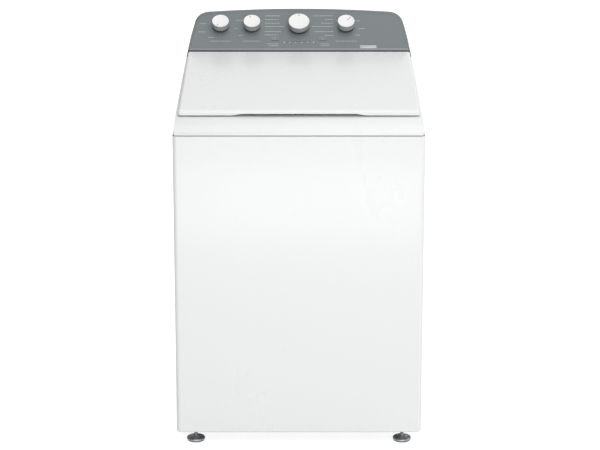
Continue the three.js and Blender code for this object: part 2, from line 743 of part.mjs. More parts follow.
// Side outline of the console: an upright foot, the sloping control face, a rounded crest and the back.
function consoleSide(inset, back, bottomDrop) {
  const lift = inset / Math.cos(CONSOLE_SLOPE);
  const foot = CONSOLE_FRONT + inset;
  const slope = Math.tan(CONSOLE_SLOPE);
  const faceZ = (fromFront) => CONSOLE_FOOT_Z + (fromFront - CONSOLE_FRONT) * slope - lift;
  const floor = (fromFront) => deckZ(fromFront) + GAP - bottomDrop;
  const crest = CONSOLE_CREST - inset * 0.5;
  const shape = new THREE.Shape();
  shape.moveTo(FRONT_Y + foot, floor(foot));
  shape.lineTo(FRONT_Y + foot, faceZ(foot));
  shape.lineTo(FRONT_Y + crest, faceZ(crest));
  shape.quadraticCurveTo(FRONT_Y + crest + 2.5, consoleTop(inset), FRONT_Y + crest + 6, consoleTop(inset));
  shape.lineTo(FRONT_Y + back, consoleTop(inset));
  shape.lineTo(FRONT_Y + back, floor(back));
  return shape;
}

const consoleBack = CABINET_DEPTH - BACK_COVER_THICK - GAP;
const consoleHull = (inset, back, drop) =>
  prismBack(consoleFront(inset), FRONT_Y + CONSOLE_FRONT - 1, BACK_Y + 10, 10).intersect(
    prismAcross(consoleSide(inset, back, drop), -HALF_WIDTH, HALF_WIDTH, 5),
  );

// The control face as a frame: x across, y up the face from its foot, z out of it.
const faceFrame = new THREE.Object3D();
faceFrame.position.set(0, FRONT_Y + CONSOLE_FRONT, CONSOLE_FOOT_Z);
faceFrame.rotation.x = CONSOLE_SLOPE;
faceFrame.updateMatrix();
const onFace = (geometry) => solid(geometry.applyMatrix4(faceFrame.matrix));

function faceHole(radius, x, up) {
  return onFace(new THREE.CylinderGeometry(radius, radius, 20, 20).rotateX(Math.PI / 2).translate(x, up, 0));
}

function faceWindow({ width, height, corner }, x, up, clearance) {
  const [w, h] = [width / 2 + clearance, height / 2 + clearance];
  const plan = roundedBox(x - w, up - h, x + w, up + h, corner + clearance);
  return onFace(extruded(plan, 20, 3).translate(0, 0, -10));
}

function consoleFascia() {
  const shell = consoleHull(0, consoleBack, 0).subtract(consoleHull(CONSOLE_WALL, CABINET_DEPTH + 9, 30));
  const stems = KNOBS.map((knob) => faceHole(KNOB_STEM_R + 1.5, knob.x, KNOB_UP));
  const keys = BUTTONS.map((key) => faceWindow(BUTTON_SIZE, key.x, BUTTON_UP, GAP));
  const lens = faceWindow(LENS_SIZE, 0, LENS_UP, GAP);
  return cut(shell, ...stems, ...keys, lens);
}

// A flat cover that closes the console's back, with a lip that enters the shell.
function consoleBackCover() {
  const y = BACK_Y - BACK_COVER_THICK;
  const slab = box(-HALF_WIDTH, HALF_WIDTH, y, BACK_Y, deckZ(CABINET_DEPTH) + GAP, TOTAL_HEIGHT);
  const lipSlab = box(-HALF_WIDTH, HALF_WIDTH, y - 4, y + 0.5, deckZ(CABINET_DEPTH) + 4, TOTAL_HEIGHT);
  const lip = prismBack(consoleFront(CONSOLE_WALL + GAP), y - 6, BACK_Y, 10).intersect(lipSlab);
  const hollow = prismBack(consoleFront(CONSOLE_WALL + 3), y - 7, y, 10);
  const plate = prismBack(consoleFront(1), y, BACK_Y, 10).intersect(slab);
  const vents = [];
  for (let i = -3; i <= 3; i += 1) {
    vents.push(box(i * 16 - 4, i * 16 + 4, y - 9, BACK_Y + 1, VENT_Z, VENT_Z + 24));
  }
  return cut(plate.add(lip.subtract(hollow)), ...vents);
}

// A selector knob: dark base ring and white cap in one moulding, with a stem that plugs into its switch.
function knob({ r, height }) {
  const base = 1;
  const body = turned(
    [
      [0, base],
      [r - 1.5, base],
      [r - 1.5, base + 7],
      [r, base + 8],
      [r, height - 2],
      [r - 1.6, height],
      [0, height],
    ],
    24,
  );
  const stem = rod("z", KNOB_STEM_R, -BOARD_DROP + 7, base + 1, [0, 0], 16);
  return joined(body, stem);
}

// A rotary switch: a square body on the board, with a socket for the knob's stem.
function rotarySwitch() {
  const top = -CONSOLE_WALL - GAP;
  const body = box(-11, 11, -11, 11, -BOARD_DROP + GAP, top - 1.5);
  return body.subtract(rod("z", KNOB_STEM_R + GAP, -BOARD_DROP + 5, top, [0, 0], 16));
}

function pushKey() {
  const { width, height, corner, proud } = BUTTON_SIZE;
  const plan = roundedBox(-width / 2, -height / 2, width / 2, height / 2, corner);
  const flange = roundedBox(-width / 2 - 2, -height / 2 - 2, width / 2 + 2, height / 2 + 2, corner);
  const under = -CONSOLE_WALL - GAP;
  const stalk = rod("z", 3, -BOARD_DROP + 3, under, [0, 0], 12);
  return joined(prismUp(plan, under - 1, proud, 3), prismUp(flange, under - 2, under, 3), stalk);
}

function indicatorLens() {
  const { width, height, corner } = LENS_SIZE;
  const plan = roundedBox(-width / 2, -height / 2, width / 2, height / 2, corner);
  const flange = roundedBox(-width / 2 - 3, -height / 2 - 1.5, width / 2 + 3, height / 2 + 1.5, corner);
  const under = -CONSOLE_WALL - GAP;
  return joined(prismUp(plan, under - 1, 0.4, 3), prismUp(flange, under - 1.5, under, 3));
}

function controlBoard() {
  const board = box(-250, 160, 22, 116, -BOARD_DROP - 1.6, -BOARD_DROP);
  const relays = [-60, -30, 40].map((x) => box(x, x + 20, 66, 86, -BOARD_DROP - 14, -BOARD_DROP - 1));
  return joined(board, ...relays);
}

// ---------- Tub group, built about the tub's axis ----------
function outerTub() {
  const inner = TUB_R - TUB_WALL;
  const wall = turned([
    [46, TUB_BOTTOM],
    [TUB_R - 18, TUB_BOTTOM],
    [TUB_R, TUB_BOTTOM + 18],
    [TUB_R, TUB_TOP - 4],
    [TUB_R + TUB_RIM, TUB_TOP - 4],
    [TUB_R + TUB_RIM, TUB_TOP],
    [inner, TUB_TOP],
    [inner, TUB_BOTTOM + 19],
    [inner - 16, TUB_BOTTOM + 4],
    [46, TUB_BOTTOM + 4],
  ]);
  const ears = RODS.map(({ x, y }) => {
    const reach = Math.hypot(x, y - TUB_Y);
    const angle = Math.atan2(y - TUB_Y, x);
    const arm = roundedBox(TUB_R - 12, -21, reach + 18, 21, 0, 14, 14, 0);
    const gusset = outline([
      [TUB_R - 12, EAR_BOTTOM + 2],
      [reach - 14, EAR_BOTTOM + EAR_THICK - 2],
      [TUB_R - 2, EAR_BOTTOM + 70],
      [TUB_R - 12, EAR_BOTTOM + 70],
    ]);
    const plate = extruded(arm, EAR_THICK, 3).translate(0, 0, EAR_BOTTOM);
    const web = extruded(gusset, 6).rotateX(Math.PI / 2).translate(0, 3, 0);
    return joined(solid(plate.rotateZ(angle)), solid(web.rotateZ(angle)));
  });
  const core = turned([
    [0, TUB_BOTTOM + 10],
    [inner, TUB_BOTTOM + 30],
    [inner, TUB_TOP + 5],
    [0, TUB_TOP + 5],
  ]);
  const holes = RODS.map(({ x, y }) =>
    rod("z", ROD_R + 3.5, EAR_BOTTOM - 1, EAR_BOTTOM + EAR_THICK + 1, [x, y - TUB_Y], 16),
  );
  const drain = rod("z", 14, TUB_BOTTOM - 1, TUB_BOTTOM + 5, [PUMP.x, PUMP.y], 16);
  return cut(wall.add(cut(joined(...ears), core)), ...holes, drain);
}

// A ring that clips over the tub's rim and reaches in over the balance ring.
function tubRing() {
  const rim = TUB_R + TUB_RIM;
  const mouth = BALANCE_IN + 5;
  const bottom = TUB_TOP + GAP;
  return turned([
    [rim + GAP, TUB_TOP - 10],
    [rim + 3, TUB_TOP - 10],
    [rim + 3, bottom + 5],
    [rim - 6, bottom + 12],
    [mouth + 4, bottom + 16],
    [mouth, bottom + 14],
    [mouth, bottom + 8],
    [mouth + 4, bottom + 9],
    [rim - 16, bottom + 6],
    [rim - 16, bottom],
    [rim + GAP, bottom],
  ]);
}

// Bearing housing under the tub, with the bracket that carries the motor.
function bearingHousing() {
  const top = TUB_BOTTOM - GAP;
  const sleeve = turned(
    [
      [SPIN_TUBE_R + 0.5, GEARCASE_TOP + GAP],
      [44, GEARCASE_TOP + GAP],
      [44, GEARCASE_TOP + 40],
      [58, top - 12],
      [104, top - 12],
      [104, top],
      [40, top],
      [40, TUB_BOTTOM + 14],
      [SPIN_TUBE_R + 0.5, TUB_BOTTOM + 14],
    ],
    24,
  );
  const bracket = box(-46, 46, 60, MOTOR_Y + 46, MOTOR_TOP + GAP, top - 14);
  const hangers = [-38, 38].map((x) => box(x - 6, x + 6, 60, MOTOR_Y + 40, top - 15, top));
  return joined(sleeve, bracket, box(-46, 46, 60, 100, top - 15, top - 2), ...hangers);
}

// Gearcase: a can for the reduction gears, open to the pulley's shaft below and the output shaft above.
function gearcase() {
  return turned(
    [
      [9.5, GEARCASE_BOTTOM],
      [GEARCASE_R - 10, GEARCASE_BOTTOM],
      [GEARCASE_R, GEARCASE_BOTTOM + 8],
      [GEARCASE_R, GEARCASE_TOP],
      [SHAFT_R + 0.5, GEARCASE_TOP],
      [SHAFT_R + 0.5, GEARCASE_TOP - 5],
      [GEARCASE_R - 8, GEARCASE_TOP - 5],
      [GEARCASE_R - 8, GEARCASE_BOTTOM + 10],
      [GEARCASE_R - 14, GEARCASE_BOTTOM + 5],
      [9.5, GEARCASE_BOTTOM + 5],
    ],
    24,
  );
}

function spinTube() {
  return turned(
    [
      [SHAFT_R + 0.8, GEARCASE_TOP + 4],
      [SPIN_TUBE_R, GEARCASE_TOP + 4],
      [SPIN_TUBE_R, BASKET_BOTTOM - 14],
      [86, BASKET_BOTTOM - 8],
      [86, BASKET_BOTTOM - GAP],
      [SPIN_TUBE_R + 4, BASKET_BOTTOM - GAP],
      [SPIN_TUBE_R + 4, BASKET_BOTTOM + 14],
      [SHAFT_R + 0.8, BASKET_BOTTOM + 14],
    ],
    24,
  );
}

function basket() {
  const inner = BASKET_R - BASKET_WALL;
  return turned([
    [SPIN_TUBE_R + 4 + GAP, BASKET_BOTTOM],
    [BASKET_R - 22, BASKET_BOTTOM],
    [BASKET_R - 6, BASKET_BOTTOM + 7],
    [BASKET_R, BASKET_BOTTOM + 22],
    [BASKET_R, BALANCE_BOTTOM - GAP],
    [inner, BALANCE_BOTTOM - GAP],
    [inner, BASKET_BOTTOM + 23],
    [inner - 6, BASKET_BOTTOM + 9],
    [inner - 21, BASKET_BOTTOM + BASKET_WALL],
    [SPIN_TUBE_R + 4 + GAP, BASKET_BOTTOM + BASKET_WALL],
  ]);
}

function balanceRing() {
  return turned([
    [BALANCE_IN + 4, BALANCE_BOTTOM],
    [BALANCE_OUT, BALANCE_BOTTOM],
    [BALANCE_OUT, BALANCE_TOP - 3],
    [BALANCE_OUT - 3, BALANCE_TOP],
    [BALANCE_IN + 8, BALANCE_TOP],
    [BALANCE_IN, BALANCE_TOP - 10],
  ]);
}

// Agitator: a bell-shaped skirt that narrows to a hollow column, with four upright fins and a hub.
function agitator() {
  const [low, wall] = [BASKET_BOTTOM + 12, AGITATOR_WALL];
  const bell = [
    [AGITATOR_SKIRT_R, low],
    [AGITATOR_SKIRT_R, low + 6],
    [126, low + 20],
    [88, low + 42],
    [64, low + 76],
    [AGITATOR_COLUMN_R + 6, low + 130],
    [AGITATOR_COLUMN_R, AGITATOR_TOP],
  ];
  const shell = turned([...bell, ...bell.map(([r, z]) => [r - wall, z]).reverse()], 28);
  const web = turned(
    [
      [SHAFT_R + GAP, low + 24],
      [24, low + 24],
      [24, low + 78],
      [62, low + 78],
      [62, low + 82],
      [SHAFT_R + GAP, low + 82],
    ],
    24,
  );
  const finOutline = outline([
    [64, low + 66],
    [92, low + 30],
    [AGITATOR_SKIRT_R - 12, low + 5],
    [AGITATOR_SKIRT_R - 4, low + 22],
    [120, low + 62],
    [82, low + 118],
    [AGITATOR_COLUMN_R + 14, low + 180],
    [AGITATOR_COLUMN_R - 2, low + 200],
    [AGITATOR_COLUMN_R + 4, low + 110],
  ]);
  const fins = [];
  for (let i = 0; i < AGITATOR_FINS; i += 1) {
    const fin = extruded(finOutline, 5).rotateX(Math.PI / 2).translate(0, 2.5, 0);
    fins.push(solid(fin.rotateZ((i * 2 * Math.PI) / AGITATOR_FINS + Math.PI / 4)));
  }
  const hollow = turned(
    [
      [0, low - 1],
      [AGITATOR_SKIRT_R - wall, low - 1],
      [126 - wall, low + 20],
      [88 - wall, low + 42],
      [64 - wall, low + 76],
      [AGITATOR_COLUMN_R + 6 - wall, low + 130],
      [AGITATOR_COLUMN_R - wall, AGITATOR_TOP + 1],
      [0, AGITATOR_TOP + 1],
    ],
    28,
  );
  return joined(shell, web, ...fins.map((fin) => fin.subtract(hollow)));
}

function agitatorCap() {
  const inner = AGITATOR_COLUMN_R - AGITATOR_WALL - 1;
  const bottom = AGITATOR_TOP + GAP;
  return turned(
    [
      [inner - 2, bottom - 18],
      [inner, bottom - 18],
      [inner, bottom],
      [CAP_R + 2, bottom],
      [CAP_R + 2, bottom + 6],
      [CAP_R - 5, bottom + 15],
      [24, bottom + 20],
      [0, bottom + 21],
      [0, bottom + 18],
      [22, bottom + 17],
      [inner - 2, bottom + 10],
      [inner - 2, bottom - 18],
    ],
    28,
  );
}

function drivePulley() {
  const top = PULLEY_Z + PULLEY_HEIGHT;
  return turned(
    [
      [0, PULLEY_Z],
      [14, PULLEY_Z],
      [18, PULLEY_Z + 4],
      [DRIVE_PULLEY_R - 12, PULLEY_Z + 4],
      [DRIVE_PULLEY_R - 8, PULLEY_Z],
      [DRIVE_PULLEY_R + 3, PULLEY_Z],
      [DRIVE_PULLEY_R, PULLEY_Z + 4],
      [DRIVE_PULLEY_R, top - 4],
      [DRIVE_PULLEY_R + 3, top],
      [DRIVE_PULLEY_R - 8, top],
      [DRIVE_PULLEY_R - 12, PULLEY_Z + 10],
      [18, PULLEY_Z + 10],
      [14, top + 4],
      [9, top + 4],
      [9, GEARCASE_BOTTOM + 16],
      [0, GEARCASE_BOTTOM + 16],
    ],
    24,
  );
}

// Motor rotor, shaft and pulley, which turn as one.
function motorRotor() {
  const top = PULLEY_Z + PULLEY_HEIGHT;
  return turned(
    [
      [0, PULLEY_Z],
      [MOTOR_PULLEY_R + 3, PULLEY_Z],
      [MOTOR_PULLEY_R, PULLEY_Z + 4],
      [MOTOR_PULLEY_R, top - 4],
      [MOTOR_PULLEY_R + 3, top],
      [6, top],
      [6, MOTOR_BOTTOM + 16],
      [MOTOR_R - 28, MOTOR_BOTTOM + 16],
      [MOTOR_R - 28, MOTOR_TOP - 22],
      [6, MOTOR_TOP - 22],
      [6, MOTOR_TOP - 8],
      [0, MOTOR_TOP - 8],
    ],
    20,
  );
}

function motorHousing() {
  return turned(
    [
      [6.5, MOTOR_BOTTOM],
      [MOTOR_R - 14, MOTOR_BOTTOM],
      [MOTOR_R, MOTOR_BOTTOM + 12],
      [MOTOR_R, MOTOR_TOP - 12],
      [MOTOR_R - 14, MOTOR_TOP],
      [0, MOTOR_TOP],
      [0, MOTOR_TOP - 6],
      [MOTOR_R - 25, MOTOR_TOP - 12],
      [MOTOR_R - 25, MOTOR_BOTTOM + 10],
      [6.5, MOTOR_BOTTOM + 5],
    ],
    24,
  );
}

// An open belt round two pulleys: two arcs joined by straight runs.
function beltLoop(grow) {
  const [big, small] = [DRIVE_PULLEY_R + grow, MOTOR_PULLEY_R + grow];
  const lean = Math.asin((big - small) / MOTOR_Y);
  const shape = new THREE.Shape();
  shape.absarc(0, 0, big, Math.PI - lean, 2 * Math.PI + lean, false);
  shape.absarc(0, MOTOR_Y, small, lean, Math.PI - lean, false);
  return shape;
}

function driveBelt() {
  const z0 = PULLEY_Z + (PULLEY_HEIGHT - BELT_HEIGHT) / 2;
  const loop = prismUp(beltLoop(GAP + BELT_THICK), z0, z0 + BELT_HEIGHT, 16);
  return loop.subtract(prismUp(beltLoop(GAP), z0 - 1, z0 + BELT_HEIGHT + 1, 16));
}

// Drain pump under the tub: a squat housing with its motor below and an outlet to the side.
function drainPump() {
  const top = TUB_BOTTOM - GAP;
  const housing = rod("z", PUMP.r, top - 34, top - 8, [0, 0], 28);
  const neck = rod("z", 16, top - 9, top, [0, 0], 20);
  const motor = rod("z", 24, top - 72, top - 33, [0, 0], 24);
  const outlet = rod("x", 10, 20, 62, [-18, top - 22], 16);
  return joined(housing, neck, motor, outlet);
}

// ---------- Pieces fixed to the cabinet round the tub ----------
function suspensionRod() {
  const seat = GUSSET_Z + GUSSET_THICK + GAP;
  return turned(
    [
      [0, ROD_BOTTOM],
      [7, ROD_BOTTOM],
      [7, SPRING_SEAT_Z - 6],
      [17, SPRING_SEAT_Z - 5],
      [17, SPRING_SEAT_Z],
      [ROD_R, SPRING_SEAT_Z],
      [ROD_R, seat],
      [10, seat],
      [9, seat + 7],
      [4, seat + 11],
      [0, seat + 11],
    ],
    10,
  );
}

function suspensionSpring() {
  const [low, high] = [SPRING_SEAT_Z + GAP + SPRING_WIRE_R, EAR_BOTTOM - GAP - SPRING_WIRE_R];
  const stepsPerTurn = 9;
  const count = SPRING_TURNS * stepsPerTurn;
  const points = [];
  for (let i = 0; i <= count; i += 1) {
    const angle = (i / stepsPerTurn) * 2 * Math.PI;
    const z = low + ((high - low) * i) / count;
    points.push([SPRING_COIL_R * Math.cos(angle), SPRING_COIL_R * Math.sin(angle), z]);
  }
  return tube(points, SPRING_WIRE_R, count, 4);
}

// Two-port inlet valve: threaded ports through the back, and a body inside.
function inletValve() {
  const inside = BACK_Y - BACK_PANEL_THICK - GAP;
  const middle = (PORT_X[0] + PORT_X[1]) / 2;
  const body = box(PORT_X[0] - 20, PORT_X[1] + 20, inside - 34, inside, PORT_Z - 17, PORT_Z + 17);
  const ports = PORT_X.map((x) =>
    rod("y", PORT_R, inside - 1, DEPTH / 2, [x, PORT_Z], 28).subtract(
      rod("y", 8.5, inside + 2, DEPTH / 2 + 1, [x, PORT_Z], 20),
    ),
  );
  const coils = PORT_X.map((x) => box(x - 14, x + 14, inside - 54, inside - 33, PORT_Z - 13, PORT_Z + 13));
  const outlet = rod("z", 9, PORT_Z + 16, PORT_Z + 30, [middle, inside - 16], 16);
  return joined(body, ...ports, ...coils, outlet);
}

// Fill hose from the valve to the spout over the back of the opening.
function fillSpout() {
  const inside = BACK_Y - BACK_PANEL_THICK - GAP;
  const middle = (PORT_X[0] + PORT_X[1]) / 2;
  const spoutY = FRONT_Y + OPENING_BACK + TOP_WALL + 6;
  return tube(
    [
      [middle, inside - 16, PORT_Z + 30 + GAP],
      [middle, inside - 16, SEAM_Z + 9],
      [middle, inside - 36, SEAM_Z + 41],
      [middle, spoutY + 100, SEAM_Z + 57],
      [middle, spoutY + 54, SEAM_Z + 61],
      [middle, spoutY + 24, SEAM_Z + 55],
      [middle, spoutY + 8, SEAM_Z + 37],
      [middle, spoutY + 8, OPENING_LIP_Z + 1],
    ],
    8,
    18,
    8,
  );
}

// Drain hose from the pump, up the right rear corner and out through the back.
const HOSE_LANE_X = HALF_WIDTH - 23;
const HOSE_START = [PUMP.y + TUB_Y - 18, TUB_BOTTOM - GAP - 22];
const DRAIN_ROUTE = [
  [PUMP.x + 62 + GAP, ...HOSE_START],
  [PUMP.x + 78, ...HOSE_START],
  [HOSE_LANE_X - 48, -166, 344],
  [HOSE_LANE_X - 22, -120, 338],
  [HOSE_LANE_X - 6, -60, 334],
  [HOSE_LANE_X, 20, 334],
  [HOSE_LANE_X + 2, BACK_Y - 220, 342],
  [HOSE_LANE_X + 2, BACK_Y - 150, 372],
  [HOSE_LANE_X, BACK_Y - 106, 430],
  [HOSE_LANE_X, BACK_Y - 90, 520],
  [HOSE_LANE_X, BACK_Y - 84, 640],
  [HOSE_LANE_X - 1, BACK_Y - 78, DRAIN_Z - 106],
  [HOSE_LANE_X - 6, BACK_Y - 62, DRAIN_Z - 36],
  [HOSE_LANE_X - 22, BACK_Y - 36, DRAIN_Z - 4],
  [DRAIN_X + 2, BACK_Y - 16, DRAIN_Z],
  [DRAIN_X, BACK_Y + PORT_REACH - 2, DRAIN_Z],
];
const drainHose = () => tube(DRAIN_ROUTE, HOSE_R, 32, 8);

// A strain relief bush that snaps into the back panel for the mains lead.
function cordGland() {
  const inside = BACK_Y - BACK_PANEL_THICK - 8;
  const barrel = rod("y", 9, inside, BACK_Y + 8, [GLAND_X, GLAND_Z], 20);
  const flange = rod("y", 13, BACK_Y + GAP, BACK_Y + 4, [GLAND_X, GLAND_Z], 20);
  return cut(joined(barrel, flange), rod("y", 4.2, inside - 1, BACK_Y + 9, [GLAND_X, GLAND_Z], 16));
}

// ---------- Assembly ----------
add(machine, "cabinet_wrap", cabinetWrap(), WHITE_ENAMEL);
add(machine, "rear_panel", rearPanel(), ZINC_STEEL);
add(machine, "base_frame", baseFrame(), ZINC_STEEL);
add(machine, "top_panel", topPanel(), WHITE_ENAMEL);
add(machine, "bleach_dispenser", bleachDispenser(), WHITE_PLASTIC);
add(machine, "console_fascia", consoleFascia(), CONSOLE_GREY);
add(machine, "console_back_cover", consoleBackCover(), CONSOLE_GREY);
add(machine, "inlet_valve", inletValve(), WHITE_PLASTIC);
add(machine, "fill_spout", fillSpout(), DARK_PLASTIC);
add(machine, "drain_hose", drainHose(), DARK_PLASTIC);
add(machine, "cord_gland", cordGland(), DARK_PLASTIC);

FEET.forEach((foot) => add(machine, foot.name, levellingFoot(), ZINC_STEEL, [foot.x, foot.y, 0]));

const lidGroup = new THREE.Group();
const HINGE_Z = deckZ(HINGE_Y_FROM_FRONT) + (LID_SKIRT + LID_GAP) / Math.cos(DECK_SLOPE);
lidGroup.position.set(0, FRONT_Y + HINGE_Y_FROM_FRONT, HINGE_Z);
lidGroup.rotation.x = DECK_SLOPE;
machine.add(lidGroup);
add(lidGroup, "lid", lidPan(), WHITE_ENAMEL);
add(lidGroup, "lid_strike", lidStrike(), GREY_PLASTIC);
add(lidGroup, "lid_lock_housing", lockHousing(), DARK_PLASTIC);
add(lidGroup, "lid_lock_bolt", lockBolt(), GREY_PLASTIC);
[
  ["left", -1],
  ["right", 1],
].forEach(([side, sign]) => {
  const bumperAt = [sign * BUMPER.x, LID_NOSE_Y + BUMPER.fromNose, 0];
  add(lidGroup, `${side}_lid_bumper`, lidBumper(), BLACK_RUBBER, bumperAt);
  add(lidGroup, `${side}_hinge_bracket`, hingeBracket(), ZINC_STEEL, [sign * HINGE_X, 0, 0]);
  const pin = rod("x", HINGE_PIN_R, -12.5, 12.5, [0, 0], 16);
  add(lidGroup, `${side}_hinge_pin`, pin, ZINC_STEEL, [sign * HINGE_X, 0, 0]);
});

const controlFace = new THREE.Group();
controlFace.position.copy(faceFrame.position);
controlFace.rotation.copy(faceFrame.rotation);
machine.add(controlFace);
add(controlFace, "control_board", controlBoard(), BOARD_GREEN);
add(controlFace, "indicator_lens", indicatorLens(), LENS_CLEAR, [0, LENS_UP, 0]);
KNOBS.forEach(({ name, switchName, x, size, turn }) => {
  const mesh = add(controlFace, name, knob(size), WHITE_PLASTIC, [x, KNOB_UP, 0]);
  mesh.rotation.z = THREE.MathUtils.degToRad(turn);
  add(controlFace, switchName, rotarySwitch(), GREY_PLASTIC, [x, KNOB_UP, 0]);
});
BUTTONS.forEach(({ name, x }) => add(controlFace, name, pushKey(), CONSOLE_GREY, [x, BUTTON_UP, 0]));

RODS.forEach(({ name, x, y }) => {
  add(machine, `${name}_suspension_rod`, suspensionRod(), ZINC_STEEL, [x, y, 0]);
  add(machine, `${name}_suspension_spring`, suspensionSpring(), ZINC_STEEL, [x, y, 0]);
});

const tubGroup = new THREE.Group();
tubGroup.position.y = TUB_Y;
machine.add(tubGroup);
add(tubGroup, "outer_tub", outerTub(), TUB_PLASTIC);
add(tubGroup, "tub_ring", tubRing(), WHITE_PLASTIC);
add(tubGroup, "bearing_housing", bearingHousing(), ZINC_STEEL);
add(tubGroup, "gearcase", gearcase(), ZINC_STEEL);
add(tubGroup, "spin_tube", spinTube(), ZINC_STEEL);
add(tubGroup, "basket", basket(), STAINLESS);
add(tubGroup, "balance_ring", balanceRing(), WHITE_PLASTIC);
add(tubGroup, "agitator", agitator(), AGITATOR_PLASTIC);
add(tubGroup, "agitator_cap", agitatorCap(), AGITATOR_PLASTIC);
const outputShaft = rod("z", SHAFT_R, GEARCASE_BOTTOM + 20, BASKET_BOTTOM + 90, [0, 0], 20);
add(tubGroup, "agitator_shaft", outputShaft, ZINC_STEEL);
add(tubGroup, "drive_pulley", drivePulley(), ZINC_STEEL);
add(tubGroup, "drive_belt", driveBelt(), BLACK_RUBBER);
add(tubGroup, "motor_housing", motorHousing(), DARK_PLASTIC, [0, MOTOR_Y, 0]);
add(tubGroup, "motor_rotor", motorRotor(), ZINC_STEEL, [0, MOTOR_Y, 0]);
add(tubGroup, "drain_pump", drainPump(), DARK_PLASTIC, [PUMP.x, PUMP.y, 0]);

export default machine;
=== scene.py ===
"""A white top load washing machine with a grey control console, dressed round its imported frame.

Lengths in the builders below are millimetres unless a name says otherwise; meshes are in metres.
+X is the machine's right seen from the front, +Y its back and +Z up.
"""

import json
import math

import bpy
from mathutils import Matrix, Vector

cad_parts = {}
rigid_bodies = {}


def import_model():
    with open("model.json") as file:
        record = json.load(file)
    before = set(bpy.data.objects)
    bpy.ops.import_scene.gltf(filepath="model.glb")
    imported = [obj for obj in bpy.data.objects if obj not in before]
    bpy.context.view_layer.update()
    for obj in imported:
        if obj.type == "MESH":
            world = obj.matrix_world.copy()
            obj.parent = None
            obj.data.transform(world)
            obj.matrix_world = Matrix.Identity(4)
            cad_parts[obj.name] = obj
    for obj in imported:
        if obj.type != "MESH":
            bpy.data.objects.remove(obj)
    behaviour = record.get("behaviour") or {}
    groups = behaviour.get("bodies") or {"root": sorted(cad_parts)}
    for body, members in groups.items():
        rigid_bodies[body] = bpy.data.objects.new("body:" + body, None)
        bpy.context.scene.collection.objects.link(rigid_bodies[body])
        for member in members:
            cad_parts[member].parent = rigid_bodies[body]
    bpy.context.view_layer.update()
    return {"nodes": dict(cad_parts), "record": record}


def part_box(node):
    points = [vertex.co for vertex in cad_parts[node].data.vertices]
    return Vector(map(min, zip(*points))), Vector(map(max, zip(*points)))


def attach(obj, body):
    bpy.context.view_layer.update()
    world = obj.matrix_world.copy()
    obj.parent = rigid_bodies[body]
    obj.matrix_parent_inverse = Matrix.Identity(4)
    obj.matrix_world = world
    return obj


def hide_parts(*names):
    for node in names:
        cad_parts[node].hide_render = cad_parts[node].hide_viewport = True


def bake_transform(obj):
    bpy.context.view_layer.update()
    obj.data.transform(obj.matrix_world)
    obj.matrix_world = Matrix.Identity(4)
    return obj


for leftover in list(bpy.data.objects):
    bpy.data.objects.remove(leftover)
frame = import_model()

NODES = frame["nodes"]
MM = 0.001
CORNERS = ("front_left", "front_right", "rear_left", "rear_right")
BODY_OF = {n: b for b, group in frame["record"]["behaviour"]["bodies"].items() for n in group}
SLOT_OF = {part["node"]: part["material_slot"] for part in frame["record"]["subparts"]}


# ---------- Hand tools ----------
def deselect():
    """Leave edit mode, with nothing selected."""
    if bpy.context.mode != "OBJECT":
        bpy.ops.object.mode_set(mode="OBJECT")
    bpy.ops.object.select_all(action="DESELECT")


def take(piece):
    """Make one piece the only selected and the active object."""
    deselect()
    piece.select_set(True)
    bpy.context.view_layer.objects.active = piece


def choose(piece, kind, test):
    """Enter edit mode with the VERT, EDGE or FACE items that pass the test selected."""
    take(piece)
    bpy.ops.object.mode_set(mode="EDIT")
    bpy.ops.mesh.select_mode(type=kind)
    bpy.ops.mesh.select_all(action="DESELECT")
    bpy.ops.object.mode_set(mode="OBJECT")
    mesh = piece.data
    for item in {"VERT": mesh.vertices, "EDGE": mesh.edges, "FACE": mesh.polygons}[kind]:
        item.select = bool(test(item))
    bpy.ops.object.mode_set(mode="EDIT")


def all_of(piece):
    """Enter edit mode with the whole piece selected."""
    take(piece)
    bpy.ops.object.mode_set(mode="EDIT")
    bpy.ops.mesh.select_all(action="SELECT")


def done():
    bpy.ops.object.mode_set(mode="OBJECT")


def ends(piece, edge):
    """Where an edge's two vertices are, in metres."""
    return [piece.data.vertices[i].co for i in edge.vertices]


def modify(piece, kind, **settings):
    """Add a modifier with these settings and apply it."""
    take(piece)
    modifier = piece.modifiers.new(kind.title(), kind)
    for key, value in settings.items():
        setattr(modifier, key, value)
    bpy.ops.object.modifier_apply(modifier=modifier.name)


def round_edges(piece, width, segments=3, angle=40):
    """Round every edge sharper than the angle, in degrees."""
    modify(
        piece,
        "BEVEL",
        width=width * MM,
        segments=segments,
        limit_method="ANGLE",
        angle_limit=math.radians(angle),
        harden_normals=False,
        use_clamp_overlap=True,
    )


def carve(piece, cutter, operation="DIFFERENCE"):
    """Cut with, or add, another solid, which is then thrown away."""
    modify(piece, "BOOLEAN", operation=operation, object=cutter, solver="EXACT")
    bpy.data.objects.remove(cutter)


def join(pieces):
    """Make several meshes one."""
    take(pieces[0])
    for piece in pieces[1:]:
        piece.select_set(True)
    bpy.ops.object.join()
    return pieces[0]


def place(piece, matrix):
    """Move a mesh by a matrix in metres, and leave its object at the origin."""
    take(piece)
    piece.matrix_world = matrix
    bpy.ops.object.transform_apply(location=True, rotation=True, scale=True)
    return piece


def shift(x=0, y=0, z=0):
    """A move given in millimetres, as a matrix in metres."""
    return Matrix.Translation(Vector((x, y, z)) * MM)


def complete(piece, name, body, material, slot, nodes=(), smooth=32):
    """Name, shade and paint a finished piece and let it ride on its body."""
    take(piece)
    bpy.ops.object.transform_apply(location=True, rotation=True, scale=True)
    bpy.ops.object.shade_smooth_by_angle(angle=math.radians(smooth))
    piece.name = name
    piece.data.name = name
    piece.data.materials.clear()
    piece.data.materials.append(material)
    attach(piece, body)
    if nodes:
        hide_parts(*nodes)
    return piece


